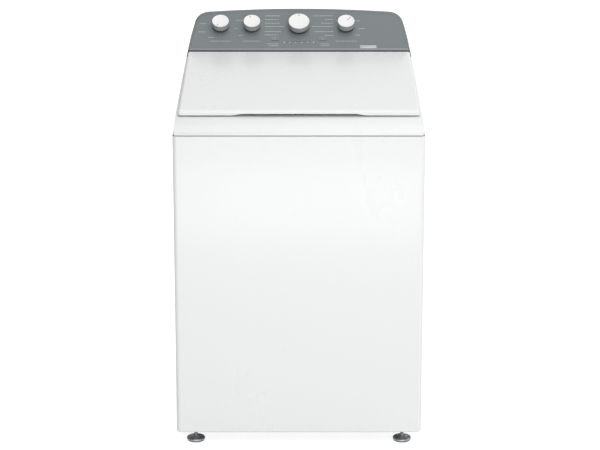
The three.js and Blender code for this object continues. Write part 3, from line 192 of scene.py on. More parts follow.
# ---------- Starting shapes ----------
ON_AXIS, SPUN_MERGE, NODE_MERGE = 1e-7, 1e-6, 2e-6  # metres
FLAT_WITHIN = 0.5  # degrees between faces that are taken for one


def block(low, high):
    """A box between two corners."""
    deselect()
    size = [(b - a) * MM for a, b in zip(low, high)]
    middle = [(a + b) / 2 * MM for a, b in zip(low, high)]
    bpy.ops.mesh.primitive_cube_add(size=1, location=middle, scale=size)
    bpy.ops.object.transform_apply(location=True, rotation=True, scale=True)
    return bpy.context.active_object


def plate(outline, low, high):
    """A flat outline in x and y, given a thickness from low to high."""
    deselect()
    bpy.ops.mesh.primitive_circle_add(vertices=len(outline), radius=1, fill_type="NGON")
    piece = bpy.context.active_object
    for vertex, (x, y) in zip(piece.data.vertices, outline):
        vertex.co = Vector((x, y, low)) * MM
    all_of(piece)
    bpy.ops.mesh.extrude_region_move(TRANSFORM_OT_translate={"value": (0, 0, (high - low) * MM)})
    bpy.ops.mesh.select_all(action="SELECT")
    bpy.ops.mesh.normals_make_consistent(inside=False)
    done()
    return piece


def rounded(x0, y0, x1, y1, radius, steps=4):
    """The outline of a rectangle with round corners."""
    points = []
    corners = [(x1 - radius, y0 + radius, -90), (x1 - radius, y1 - radius, 0)]
    corners += [(x0 + radius, y1 - radius, 90), (x0 + radius, y0 + radius, 180)]
    for cx, cy, start in corners:
        for i in range(steps + 1):
            angle = math.radians(start + 90 * i / steps)
            points.append((cx + radius * math.cos(angle), cy + radius * math.sin(angle)))
    return points


def circle(radius, sides, turn=0.0, x=0.0, y=0.0):
    """The outline of a regular polygon round (x, y)."""
    angles = [turn + 2 * math.pi * i / sides for i in range(sides)]
    return [(x + radius * math.cos(a), y + radius * math.sin(a)) for a in angles]


def spun(profile, steps=64):
    """A profile of (radius, height) turned about the upright axis."""
    deselect()
    bpy.ops.mesh.primitive_circle_add(vertices=len(profile), radius=1, fill_type="NOTHING")
    piece = bpy.context.active_object
    for vertex, (radius, height) in zip(piece.data.vertices, profile):
        vertex.co = Vector((radius, 0, height)) * MM
    choose(piece, "EDGE", lambda e: all(abs(v.x) < ON_AXIS for v in ends(piece, e)))
    bpy.ops.mesh.delete(type="EDGE")
    bpy.ops.mesh.select_all(action="SELECT")
    bpy.ops.mesh.spin(steps=steps, angle=2 * math.pi, center=(0, 0, 0), axis=(0, 0, 1))
    bpy.ops.mesh.select_all(action="SELECT")
    bpy.ops.mesh.remove_doubles(threshold=SPUN_MERGE)
    bpy.ops.mesh.normals_make_consistent(inside=False)
    done()
    return piece


def copy_of(node):
    """A node's shape as a merged mesh of flat faces, ready to be worked on."""
    piece = bpy.data.objects.new(node + "_work", NODES[node].data.copy())
    bpy.context.scene.collection.objects.link(piece)
    take(piece)
    bpy.ops.mesh.customdata_custom_splitnormals_clear()
    all_of(piece)
    bpy.ops.mesh.mark_sharp(clear=True)
    bpy.ops.mesh.remove_doubles(threshold=NODE_MERGE)
    bpy.ops.mesh.dissolve_limited(angle_limit=math.radians(FLAT_WITHIN))
    done()
    return piece


def softened(node, name, width, material, segments=2, angle=40, smooth=32):
    """A node's shape with its hard edges rounded, standing for the node."""
    piece = copy_of(node)
    round_edges(piece, width, segments, angle)
    return complete(piece, name, BODY_OF[node], material, SLOT_OF[node], [node], smooth)


# ---------- Effects that several finishes share ----------
def new_group(name, inputs, outputs):
    """A shader node group with named number and colour sockets."""
    kinds = {"number": "NodeSocketFloat", "colour": "NodeSocketColor"}
    group = bpy.data.node_groups.new(name, "ShaderNodeTree")
    for label, kind, value in inputs:
        socket = group.interface.new_socket(label, in_out="INPUT", socket_type=kinds[kind])
        socket.default_value = value
    for label, kind in outputs:
        group.interface.new_socket(label, in_out="OUTPUT", socket_type=kinds[kind])
    return group, group.nodes.new("NodeGroupInput"), group.nodes.new("NodeGroupOutput")


NOISE_SPAN = (0.3, 0.7)
COARSE_TO_FINE = 0.22  # the coarse grain's scale, as a share of the fine grain's


def noise_on(tree, detail, roughness=0.5, stretch=None):
    """A noise texture on Object coordinates, stretched if asked, ready for its scale."""
    coordinates = tree.nodes.new("ShaderNodeTexCoord")
    noise = tree.nodes.new("ShaderNodeTexNoise")
    noise.inputs["Detail"].default_value = detail
    noise.inputs["Roughness"].default_value = roughness
    source = coordinates.outputs["Object"]
    if stretch:
        mapping = tree.nodes.new("ShaderNodeMapping")
        mapping.inputs["Scale"].default_value = stretch
        tree.links.new(source, mapping.inputs["Vector"])
        source = mapping.outputs["Vector"]
    tree.links.new(source, noise.inputs["Vector"])
    return noise


def spread(tree, value, low, high):
    """A noise value's usual span, brought to between two sockets."""
    span = tree.nodes.new("ShaderNodeMapRange")
    span.inputs["From Min"].default_value, span.inputs["From Max"].default_value = NOISE_SPAN
    tree.links.new(value, span.inputs["Value"])
    tree.links.new(low, span.inputs["To Min"])
    tree.links.new(high, span.inputs["To Max"])
    return span.outputs["Result"]


def surface_tone_group():
    """Slow drift of colour and of roughness over a surface, as handling and age leave it."""
    inputs = [("Colour", "colour", (1, 1, 1, 1)), ("Worn Colour", "colour", (1, 1, 1, 1))]
    inputs += [("Scale", "number", 6.0), ("Low Roughness", "number", 0.3), ("High Roughness", "number", 0.4)]
    group, given, out = new_group("surface_tone", inputs, [("Colour", "colour"), ("Roughness", "number")])
    drift = noise_on(group, 3.0)
    smudge = noise_on(group, 5.0, 0.6, (2.3, 2.3, 1.1))
    mix = group.nodes.new("ShaderNodeMix")
    mix.data_type = "RGBA"
    group.links.new(given.outputs["Scale"], drift.inputs["Scale"])
    group.links.new(given.outputs["Scale"], smudge.inputs["Scale"])
    group.links.new(drift.outputs["Fac"], mix.inputs["Factor"])
    group.links.new(given.outputs["Colour"], mix.inputs["A"])
    group.links.new(given.outputs["Worn Colour"], mix.inputs["B"])
    group.links.new(mix.outputs["Result"], out.inputs["Colour"])
    limits = (given.outputs["Low Roughness"], given.outputs["High Roughness"])
    group.links.new(spread(group, smudge.outputs["Fac"], *limits), out.inputs["Roughness"])
    return group


def moulded_grain_group():
    """Height of a fine grain: orange peel on enamel, or the texture of a moulded plastic."""
    group, given, out = new_group(
        "moulded_grain", [("Scale", "number", 900.0), ("Coarse Share", "number", 0.3)], [("Height", "number")]
    )
    fine = noise_on(group, 2.0)
    coarse = noise_on(group, 1.0)
    smaller = group.nodes.new("ShaderNodeMath")
    smaller.operation = "MULTIPLY"
    smaller.inputs[1].default_value = COARSE_TO_FINE
    blend = group.nodes.new("ShaderNodeMix")
    group.links.new(given.outputs["Scale"], fine.inputs["Scale"])
    group.links.new(given.outputs["Scale"], smaller.inputs[0])
    group.links.new(smaller.outputs[0], coarse.inputs["Scale"])
    group.links.new(given.outputs["Coarse Share"], blend.inputs["Factor"])
    group.links.new(fine.outputs["Fac"], blend.inputs["A"])
    group.links.new(coarse.outputs["Fac"], blend.inputs["B"])
    group.links.new(blend.outputs["Result"], out.inputs["Height"])
    return group


def brushed_lines_group():
    """Fine level lines, as rolling and brushing leave on sheet steel and turned metal."""
    group, given, out = new_group("brushed_lines", [("Scale", "number", 60.0)], [("Height", "number")])
    lines = noise_on(group, 4.0, 0.65, (1.0, 1.0, 26.0))
    group.links.new(given.outputs["Scale"], lines.inputs["Scale"])
    group.links.new(lines.outputs["Fac"], out.inputs["Height"])
    return group


def zinc_spangle_group():
    """The crystals of a galvanised sheet, as patches of slightly different grey and gloss."""
    inputs = [("Scale", "number", 70.0), ("Dark Zinc", "colour", (0.3, 0.3, 0.3, 1))]
    inputs += [("Light Zinc", "colour", (0.5, 0.5, 0.5, 1)), ("Low Roughness", "number", 0.3)]
    inputs += [("High Roughness", "number", 0.5)]
    group, given, out = new_group("zinc_spangle", inputs, [("Colour", "colour"), ("Roughness", "number")])
    coordinates = group.nodes.new("ShaderNodeTexCoord")
    crystals = group.nodes.new("ShaderNodeTexVoronoi")
    split = group.nodes.new("ShaderNodeSeparateColor")
    mix = group.nodes.new("ShaderNodeMix")
    mix.data_type = "RGBA"
    group.links.new(coordinates.outputs["Object"], crystals.inputs["Vector"])
    group.links.new(given.outputs["Scale"], crystals.inputs["Scale"])
    group.links.new(crystals.outputs["Color"], split.inputs["Color"])
    group.links.new(split.outputs["Red"], mix.inputs["Factor"])
    group.links.new(given.outputs["Dark Zinc"], mix.inputs["A"])
    group.links.new(given.outputs["Light Zinc"], mix.inputs["B"])
    group.links.new(mix.outputs["Result"], out.inputs["Colour"])
    limits = (given.outputs["Low Roughness"], given.outputs["High Roughness"])
    group.links.new(spread(group, split.outputs["Green"], *limits), out.inputs["Roughness"])
    return group


SURFACE_TONE = surface_tone_group()
MOULDED_GRAIN = moulded_grain_group()
BRUSHED_LINES = brushed_lines_group()
ZINC_SPANGLE = zinc_spangle_group()


# ---------- Finishes ----------
def linear(shade):
    """A display colour of 0 to 255 as the light values that a shader takes."""
    return [((c / 255 + 0.055) / 1.055) ** 2.4 if c > 10 else c / 255 / 12.92 for c in shade] + [1.0]


def placed_group(tree, group, values):
    """A shared effect set into a material with this material's own values."""
    node = tree.nodes.new("ShaderNodeGroup")
    node.node_tree = group
    for label, value in values.items():
        node.inputs[label].default_value = value
    return node


def start_finish(name, **sockets):
    """A material with its Principled shader, and the numbers that are the same all over."""
    material = bpy.data.materials.new(name)
    material.use_nodes = True
    shader = material.node_tree.nodes["Principled BSDF"]
    for label, value in sockets.items():
        shader.inputs[label.replace("_", " ").title().replace("Ior", "IOR")].default_value = value
    return material, material.node_tree, shader


def bump(tree, shader, height, depth):
    """Relief of a depth in millimetres from a height output."""
    node = tree.nodes.new("ShaderNodeBump")
    node.inputs["Strength"].default_value = 1.0
    node.inputs["Distance"].default_value = depth * MM
    tree.links.new(height, node.inputs["Height"])
    tree.links.new(node.outputs["Normal"], shader.inputs["Normal"])


def moulded(name, shade, worn, rough, grain, depth, coarse=0.3, drift=5.0, **sockets):
    """Enamel, plastic or rubber: a colour that drifts, gloss that varies and a fine grain."""
    material, tree, shader = start_finish(name, **sockets)
    values = {"Colour": linear(shade), "Worn Colour": linear(worn), "Scale": drift}
    values.update({"Low Roughness": rough[0], "High Roughness": rough[1]})
    tone = placed_group(tree, SURFACE_TONE, values)
    tree.links.new(tone.outputs["Colour"], shader.inputs["Base Color"])
    tree.links.new(tone.outputs["Roughness"], shader.inputs["Roughness"])
    texture = placed_group(tree, MOULDED_GRAIN, {"Scale": grain, "Coarse Share": coarse})
    bump(tree, shader, texture.outputs["Height"], depth)
    return material


def metal(name, dark, light, rough, crystals, depth, lines=60.0, metallic=1.0):
    """Bare or coated metal: crystals of two greys under fine level lines."""
    material, tree, shader = start_finish(name, metallic=metallic)
    values = {"Scale": crystals, "Dark Zinc": linear(dark), "Light Zinc": linear(light)}
    values.update({"Low Roughness": rough[0], "High Roughness": rough[1]})
    spangle = placed_group(tree, ZINC_SPANGLE, values)
    tree.links.new(spangle.outputs["Colour"], shader.inputs["Base Color"])
    tree.links.new(spangle.outputs["Roughness"], shader.inputs["Roughness"])
    brushing = placed_group(tree, BRUSHED_LINES, {"Scale": lines})
    bump(tree, shader, brushing.outputs["Height"], depth)
    return material


# Each row: display colour, worn colour, roughness from and to, grain scale and depth in millimetres.
ENAMEL = moulded(
    "white_enamel_finish", (245, 246, 246), (244, 245, 245), (0.272, 0.282), 700, 0.006, 0.2, 2.0,
    coat_weight=0.2, coat_roughness=0.14, specular_ior_level=0.38,
)
CONSOLE_GREY = moulded(
    "console_grey_finish", (121, 129, 131), (115, 123, 125), (0.42, 0.5), 1500, 0.06, 0.2
)
OVERLAY_GREY = moulded(
    "overlay_grey_finish", (125, 133, 135), (121, 129, 131), (0.36, 0.42), 2200, 0.03, 0.2
)
# Painted shade: a near-black grey for the gap line where the console meets the lid.
CONSOLE_GAP_PAINTED_SHADE = moulded("console_gap_painted_shade", (44, 48, 52), (38, 42, 46), (0.5, 0.6), 1300, 0.05)
# Painted reflection: a paler grey standing for the bright lid reflected in the console's foot.
LIP_PAINTED_REFLECTION = moulded("lip_painted_reflection_finish", (146, 153, 155), (141, 148, 150), (0.36, 0.44), 1500, 0.05)
# Painted shade: a darker copy of the console grey for its rolled edges and sides.
CONSOLE_RIM_PAINTED_SHADE = moulded("console_rim_painted_shade", (98, 105, 108), (92, 99, 102), (0.42, 0.5), 1500, 0.06)
KNOB_WHITE = moulded("knob_white_finish", (252, 252, 251), (248, 248, 247), (0.34, 0.44), 1800, 0.04)
# Painted shade: a grey copy of the knob white for the caps' sides.
KNOB_SIDE_PAINTED_SHADE = moulded("knob_side_painted_shade", (166, 168, 169), (158, 160, 161), (0.34, 0.42), 1800, 0.04)
KNOB_DARK = moulded("knob_ring_finish", (62, 66, 69), (52, 56, 58), (0.4, 0.5), 1800, 0.05)
WHITE_PLASTIC = moulded(
    "white_plastic_finish", (240, 240, 238), (232, 232, 229), (0.36, 0.46), 1400, 0.06
)
TUB_PLASTIC = moulded(
    "tub_plastic_finish", (222, 224, 221), (208, 210, 206), (0.44, 0.56), 800, 0.12, 0.5,
    subsurface_weight=0.05, subsurface_radius=(0.004, 0.004, 0.004),
)
AGITATOR_PLASTIC = moulded(
    "agitator_plastic_finish", (216, 220, 223), (204, 209, 212), (0.3, 0.42), 1100, 0.08
)
DARK_PLASTIC = moulded("dark_plastic_finish", (46, 48, 50), (58, 60, 62), (0.45, 0.6), 1300, 0.1)
GREY_PLASTIC = moulded("grey_plastic_finish", (158, 163, 166), (146, 151, 154), (0.42, 0.52), 1300, 0.08)
RUBBER = moulded(
    "black_rubber_finish", (27, 27, 28), (44, 44, 43), (0.7, 0.86), 900, 0.2, 0.5, specular_ior_level=0.35
)
BOARD = moulded("circuit_board_finish", (30, 86, 60), (24, 70, 50), (0.3, 0.45), 700, 0.05)
# Painted shade: a mid grey for the step above the seam and for the cabinet's rolled foot edge.
PAINTED_SHADE = moulded("painted_shade_finish", (118, 120, 122), (108, 110, 112), (0.6, 0.7), 900, 0.04)
HOSE_GREY = moulded("drain_hose_finish", (112, 116, 120), (98, 102, 106), (0.45, 0.58), 1200, 0.06)
LENS = moulded(
    "lens_finish", (112, 119, 121), (104, 111, 113), (0.12, 0.2), 1500, 0.01, coat_weight=0.6
)
PRINT_LIGHT = moulded("legend_ink", (205, 210, 211), (196, 201, 202), (0.4, 0.5), 2400, 0.01)
PRINT_DARK = moulded("pointer_ink", (84, 88, 91), (96, 100, 103), (0.45, 0.55), 2400, 0.01)
BADGE_SILVER = moulded(
    "badge_silver", (196, 201, 203), (186, 191, 193), (0.28, 0.36), 2000, 0.02, metallic=0.4
)
# Each row: dark and light crystals, roughness from and to, crystal scale, line depth, line scale, metallic.
ZINC = metal("galvanised_steel_finish", (160, 164, 167), (180, 185, 188), (0.38, 0.5), 130, 0.03)
FOOT_METAL = metal("foot_plate_finish", (188, 191, 193), (208, 211, 213), (0.4, 0.5), 160, 0.03)
STAINLESS = metal("basket_steel_finish", (214, 217, 219), (226, 229, 231), (0.3, 0.4), 240, 0.05, 90, 0.55)
ALUMINIUM = metal("cast_aluminium_finish", (146, 148, 150), (160, 162, 164), (0.46, 0.6), 420, 0.12, 30)

FINISHES = {
    "white_enamel": ENAMEL,
    "galvanised_steel": ZINC,
    "basket_steel": STAINLESS,
    "cast_aluminium": ALUMINIUM,
    "console_plastic": CONSOLE_GREY,
    "knob_plastic": KNOB_WHITE,
    "white_plastic": WHITE_PLASTIC,
    "tub_plastic": TUB_PLASTIC,
    "agitator_plastic": AGITATOR_PLASTIC,
    "dark_plastic": DARK_PLASTIC,
    "circuit_board": BOARD,
    "lens_plastic": LENS,
    "black_rubber": RUBBER,
}
for node, carried in NODES.items():
    carried.data.materials.clear()
    carried.data.materials.append(FINISHES[SLOT_OF[node]])


# ---------- Frames that pieces are built in ----------
LID_TILT = math.radians(7.315)  # how much the shut lid slopes down to the front
pin_low, pin_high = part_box("left_hinge_pin")
HINGE_AXIS = (pin_low + pin_high) / 2
LID_FRAME = Matrix.Translation((0, HINGE_AXIS.y, HINGE_AXIS.z)) @ Matrix.Rotation(LID_TILT, 4, "X")
FACE_TILT = math.radians(34)
FACE_FOOT_Y, FACE_FOOT_Z = 176, 1025.55
FACE_SPOT = Vector((0, FACE_FOOT_Y * MM, FACE_FOOT_Z * MM))
FACE_FRAME = Matrix.Translation(FACE_SPOT) @ Matrix.Rotation(FACE_TILT, 4, "X")
FACE_OUT = FACE_FRAME.to_3x3() @ Vector((0, 0, 1))
TUB_FRAME = shift(0, -5, 0)
STAND_UP = Matrix.Rotation(math.radians(90), 4, "X")  # turns an x, y outline into x, z
FACE_BACK = Matrix.Rotation(math.radians(-90), 4, "X")  # turns what stands on x, y to stand out of the back
ALONG_X = Matrix.Rotation(math.radians(90), 4, "Y")
BACK_SHEET_Y = 330  # the rear sheet's outer side


# ---------- Lid ----------
LID_NOSE, LID_BACK, LID_TOP, LID_LOW = -457, 8, 8, -7
LID_HALF_NOSE, LID_HALF_BACK = 332, 323
GRIP_FLAT, GRIP_END, GRIP_LIFT = 152, 188, 4.6
HINGE_X = 287
LID_ROLL, LID_ROLL_BACK, LID_SHEET = 7.5, 3.2, 1.5
BEADS = ((-385, 225), (-230, 255), (-75, 255))  # the underside's beads: y, half length


def grip_lift(x):
    """How far the lid's front edge is raised for the fingers, at a place across it."""
    t = min(max((GRIP_END - abs(x)) / (GRIP_END - GRIP_FLAT), 0), 1)
    return GRIP_LIFT * t * t * (3 - 2 * t)


def lid_sheet():
    """The lid's pressed sheet: rounded all round, open below, with a raised grip in front."""
    sheet = block((-LID_HALF_BACK, LID_NOSE, LID_LOW), (LID_HALF_BACK, LID_BACK, LID_TOP))
    choose(sheet, "VERT", lambda v: v.co.y < -0.2)
    bpy.ops.transform.resize(value=(LID_HALF_NOSE / LID_HALF_BACK, 1, 1), center_override=(0, 0, 0))
    done()

    def at_back(edge):
        return all(v.y > (LID_BACK - 0.1) * MM for v in ends(sheet, edge))

    choose(sheet, "EDGE", lambda e: max(v.z for v in ends(sheet, e)) > 0.007 and not at_back(e))
    bpy.ops.mesh.bevel(offset=LID_ROLL * MM, offset_type="OFFSET", segments=8, affect="EDGES")
    done()
    choose(sheet, "EDGE", lambda e: at_back(e) and all(v.z > 0.0075 for v in ends(sheet, e)))
    bpy.ops.mesh.bevel(offset=LID_ROLL_BACK * MM, offset_type="OFFSET", segments=5, affect="EDGES")
    done()
    choose(sheet, "FACE", lambda f: f.normal.z < -0.99)
    bpy.ops.mesh.delete(type="FACE")
    done()
    cuts = [GRIP_FLAT + (GRIP_END - GRIP_FLAT) * i / 8 for i in range(9)]
    for x in [-c for c in reversed(cuts)] + cuts:
        choose(sheet, "FACE", lambda f: f.center.y < (LID_NOSE + 20) * MM and f.normal.y < -0.9)
        bpy.ops.mesh.bisect(plane_co=(x * MM, 0, 0), plane_no=(1, 0, 0))
        done()
    for vertex in sheet.data.vertices:
        if vertex.co.z < (LID_LOW + 0.1) * MM and vertex.co.y < (LID_NOSE + 1) * MM:
            vertex.co.z += grip_lift(vertex.co.x / MM) * MM
    return sheet


def hinge_ear(x):
    """One bored ear under the lid's back edge, for its hinge pin."""
    ear = block((x - 2.25, -6, -5.5), (x + 2.25, 6, 7.0))

    def on_foot_edge(edge):
        start, end = ends(ear, edge)
        return max(start.z, end.z) < -0.005 and abs(start.y - end.y) < 1e-6

    choose(ear, "EDGE", on_foot_edge)
    bpy.ops.mesh.bevel(offset=4.5 * MM, segments=6, affect="EDGES")
    done()
    carve(ear, place(plate(circle(3.3, 24), -6, 6), shift(x) @ ALONG_X))
    return ear


def lid_bead(y, half):
    """A long shallow bead pressed into the lid's underside."""
    low, high = 3.6, 6.8
    bead = plate(rounded(-half, y - 16, half, y + 16, 15.9, 6), low, high)
    choose(bead, "VERT", lambda v: v.co.z < 0.004)
    bpy.ops.transform.resize(value=(0.985, 0.72, 1), center_override=(0, y * MM, low * MM))
    done()
    round_edges(bead, 0.9, 2, 20)
    return bead


def lid_shell():
    """The lid: its sheet with slots for the hinge posts, two ears at each, and the beads."""
    sheet = lid_sheet()
    modify(sheet, "SOLIDIFY", thickness=LID_SHEET * MM, offset=-1, use_even_offset=True, use_rim=True)
    for x in (-HINGE_X, HINGE_X):
        carve(sheet, block((x - 6, 2.5, LID_LOW - 2), (x + 6, LID_BACK + 2, 5.5)))
    ears = [hinge_ear(x + step) for x in (-HINGE_X, HINGE_X) for step in (-8.75, 8.75)]
    beads = [lid_bead(y, half) for y, half in BEADS]
    shell = join([sheet, *ears, *beads])
    place(shell, LID_FRAME)
    return complete(shell, "lid_shell", "lid", ENAMEL, "white_enamel", ["lid"], smooth=35)


lid_shell()


# ---------- Console ----------
SEAM_Z = 905


def console_half_width(z):
    """Half the machine's width at a height above the seam, where its sides lean in."""
    rise = z - SEAM_Z
    return 345 - 0.11 * rise - 0.0006 * rise * rise


def console_outline(inset):
    """The control face's edge as (across, up the face) points, drawn in from the moulding's own."""
    turn, crown, drop, crest, highest = 1079.5, 255, 8, 1117.5, 1116.5
    points = [(console_half_width(z), z) for z in [FACE_FOOT_Z + 2 + i * 10 for i in range(6)]]
    corner = (console_half_width(turn), turn)
    bend = (console_half_width(turn) - 10, crest - drop)
    for i in range(13):
        t = i / 12
        x = (1 - t) ** 2 * corner[0] + 2 * t * (1 - t) * bend[0] + t * t * crown
        z = (1 - t) ** 2 * corner[1] + 2 * t * (1 - t) * bend[1] + t * t * (crest - drop)
        points.append((x, z))
    for i in range(1, 11):
        t = i / 20
        x = (1 - t) ** 2 * crown - t * t * crown
        z = (1 - t) ** 2 * (crest - drop) + 2 * t * (1 - t) * (crest + drop) + t * t * (crest - drop)
        points.append((x, min(z, highest)))
    points += [(-x, z) for x, z in reversed(points[:-1])]
    rise = math.sin(FACE_TILT)
    flat = [(x, (z - FACE_FOOT_Z) / rise) for x, z in points]
    inner = []
    for i, (x, y) in enumerate(flat):
        (x0, y0), (x1, y1) = flat[i - 1], flat[(i + 1) % len(flat)]
        length = math.hypot(x1 - x0, y1 - y0)
        inner.append((x - inset * (y1 - y0) / length, y + inset * (x1 - x0) / length))
    return inner


KNOB_UP = 94  # places on the control face are across it and up it from its foot
KNOBS = {  # across, radius, turn in degrees, where the pointer starts as a share of the radius
    "load_size": (-230, 25, 152, 0.62),
    "temperature": (-138, 25, 18, 0.6),
    "cycle": (0, 31, 0, 0.66),
    "rinse": (138, 25, -42, 0.2),
}
KEYS = {"option": -69, "start": 69}
KEY_UP, KEY_WIDE, KEY_TALL = 46, 23, 12
LENS_UP, LENS_WIDE, LENS_TALL = 32, 96, 6


def console_shell():
    """The grey moulding with its edges rolled over. Painted shade darkens its foot where it meets the lid,
    and its rolled edges and sides; a painted reflection lightens the band just above the foot.
    """
    shell = softened("console_fascia", "console_shell", 1.6, CONSOLE_GREY, segments=4, angle=32)
    gap_shade, lip, rim = 1, 2, 3
    for finish in (CONSOLE_GAP_PAINTED_SHADE, LIP_PAINTED_REFLECTION, CONSOLE_RIM_PAINTED_SHADE):
        shell.data.materials.append(finish)
    for face in shell.data.polygons:
        height = face.center.z / MM - FACE_FOOT_Z
        in_front = face.center.y < (FACE_FOOT_Y + 4) * MM
        # Painted shade on the faces below the foot, in the gap above the lid.
        if height < -1.2 and in_front:
            face.material_index = gap_shade
        # Painted reflection on the foot's own faces, paler like the strip above them.
        elif height < 0.6 and in_front:
            face.material_index = lip
        # Painted shade on faces turned away from the control face.
        elif height > 5 and face.normal.dot(FACE_OUT) < 0.86:
            face.material_index = rim


def control_overlay():
    """The printed film on the control face, with windows for the stems, the keys and the lens."""
    film = plate(console_outline(5.5), 0.02, 0.4)
    windows = [plate(circle(5.5, 24, x=x, y=KNOB_UP), -2, 3) for x, *_ in KNOBS.values()]
    for x in KEYS.values():
        wide, tall = KEY_WIDE / 2 + 0.5, KEY_TALL / 2 + 0.5
        windows.append(plate(rounded(x - wide, KEY_UP - tall, x + wide, KEY_UP + tall, 3), -2, 3))
    wide, tall = LENS_WIDE / 2 + 0.3, LENS_TALL / 2 + 0.3
    windows.append(plate(rounded(-wide, LENS_UP - tall, wide, LENS_UP + tall, 2.3), -2, 3))
    carve(film, join(windows))
    place(film, FACE_FRAME)
    complete(film, "control_overlay", "cabinet", OVERLAY_GREY, "console_plastic", smooth=30)


def lip_reflection_strip():
    """A thin strip along the foot of the control face, painted paler as a painted reflection of the lid."""
    half = console_half_width(FACE_FOOT_Z) - 4
    strip = plate([(-half, 0.4), (half, 0.4), (half - 1.2, 8.8), (1.2 - half, 8.8)], -0.4, 0.5)
    round_edges(strip, 0.25, 2, 30)
    place(strip, FACE_FRAME)
    complete(strip, "lip_reflection_strip", "cabinet", LIP_PAINTED_REFLECTION, "console_plastic", smooth=30)


def knob_piece(name, x, radius, turn, mark):
    """A white selector: a dished face, a tapered side painted grey as shade, a dark foot ring and a sunk
    pointer.
    """
    node, r, top = name + "_knob", radius, 26 if radius > 30 else 27
    cap = spun(
        [
            (0, top - 1.3), (r * 0.5, top - 1.15), (r * 0.78, top - 0.85), (r - 3.4, top - 0.35),
            (r - 2.2, top - 0.05), (r - 1.3, top - 0.1), (r - 0.6, top - 0.6), (r - 0.25, top - 1.6),
            (r - 0.1, 16), (r, 10), (r - 0.2, 8.6), (r - 0.9, 8), (r - 3, 8), (r - 3, 6), (0, 6),
        ],
        72,
    )
    start, end = r * mark, r - 3.2
    carve(cap, plate(rounded(-0.95, start, 0.95, end, 0.9), top - 1.75, top + 3))
    spin = FACE_FRAME @ shift(x, KNOB_UP, 0) @ Matrix.Rotation(math.radians(turn), 4, "Z")
    place(cap, spin)
    complete(cap, node + "_cap", node, KNOB_WHITE, "knob_plastic", [node], smooth=38)
    cap.data.materials.append(KNOB_SIDE_PAINTED_SHADE)
    # Painted shade: side faces turned away from the control face take the grey.
    for face in cap.data.polygons:
        if face.normal.dot(FACE_OUT) < 0.35:
            face.material_index = 1
    ring = spun(
        [
            (0, -10), (4, -10), (4, 1), (r - 2.4, 1), (r - 1.5, 1.8), (r - 1.5, 6.4), (r - 2.2, 7.4),
            (0, 7.4),
        ],
        64,
    )
    place(ring, spin)
    complete(ring, node + "_ring", node, KNOB_DARK, "knob_plastic", smooth=38)
    pointer = plate(rounded(-0.85, start + 0.1, 0.85, end - 0.1, 0.8), top - 1.85, top - 1.3)
    place(pointer, spin)
    complete(pointer, node + "_pointer", node, PRINT_DARK, "knob_plastic")


def key_piece(name, x):
    """A push key with rounded edges, a slightly sunk face and its flange and stalk behind."""
    node, wide, tall = name + "_button", KEY_WIDE / 2, KEY_TALL / 2
    spot = FACE_FRAME @ shift(x, KEY_UP)
    key = plate(rounded(-wide, -tall, wide, tall, 2.5, 6), -4.3, 2.2)
    choose(key, "FACE", lambda f: f.normal.z > 0.99)
    bpy.ops.mesh.inset(thickness=1.1 * MM, depth=-0.35 * MM)
    done()
    round_edges(key, 0.35, 2, 30)
    flange = plate(rounded(-wide - 2, -tall - 2, wide + 2, tall + 2, 2.5), -5.3, -3.3)
    stalk = plate(circle(3, 20), -14, -5)
    whole = place(join([key, flange, stalk]), spot)
    complete(whole, name + "_key", node, OVERLAY_GREY, "console_plastic", [node], 30)
    frame_line = plate(rounded(-wide + 0.7, -tall + 0.7, wide - 0.7, tall - 0.7, 1.9, 6), 2.0, 2.25)
    inner_line = plate(rounded(-wide + 1.2, -tall + 1.2, wide - 1.2, tall - 1.2, 1.4, 6), 1.0, 3.0)
    carve(frame_line, inner_line)
    shape = circle(2.1, 3) if name == "start" else rounded(-2.6, -0.5, 2.6, 0.5, 0.4)
    line = place(join([frame_line, plate(shape, 1.8, 1.98)]), spot)
    complete(line, name + "_key_print", node, PRINT_LIGHT, "console_plastic")


def lens_piece():
    """The indicator window and the flange behind it."""
    wide, tall = LENS_WIDE / 2, LENS_TALL / 2
    lens = plate(rounded(-wide, -tall, wide, tall, 2, 5), -3.3, 0.4)
    flange = plate(rounded(-wide - 3, -tall - 1.5, wide + 3, tall + 1.5, 2), -4.8, -3.2)
    round_edges(lens, 0.12, 2, 30)
    whole = place(join([lens, flange]), FACE_FRAME @ shift(0, LENS_UP))
    complete(whole, "indicator_window", "cabinet", LENS, "lens_plastic", ["indicator_lens"], 30)


INK = (0.36, 0.5)  # foot and top of the printed marks above the control face
DASHES, DASH_GAP = (4.2, 2.6, 5.4, 3.2, 6.0, 2.2), 0.9


def bar(x, up, wide, tall):
    """One short printed stroke."""
    outline = rounded(x - wide / 2, up - tall / 2, x + wide / 2, up + tall / 2, min(wide, tall) * 0.3, 1)
    return plate(outline, *INK)


def caption(x, up, wide, tall=1.7):
    """A line of printing, as a row of short plain dashes."""
    dashes, at = [], x - wide / 2
    while at < x + wide / 2 - 1.5:
        long = min(DASHES[len(dashes) % len(DASHES)], x + wide / 2 - at)
        dashes.append(bar(at + long / 2, up, long, tall))
        at += long + DASH_GAP
    return dashes


def arc_ticks(x, radius, start, end, count):
    """Short ticks round a knob from one angle to another, clockwise from straight up."""
    ticks = []
    for i in range(count):
        angle = math.radians(start + (end - start) * i / (count - 1))
        spot = shift(x, KNOB_UP) @ Matrix.Rotation(-angle, 4, "Z")
        ticks.append(place(bar(0, radius, 0.8, 2.6), spot))
    return ticks


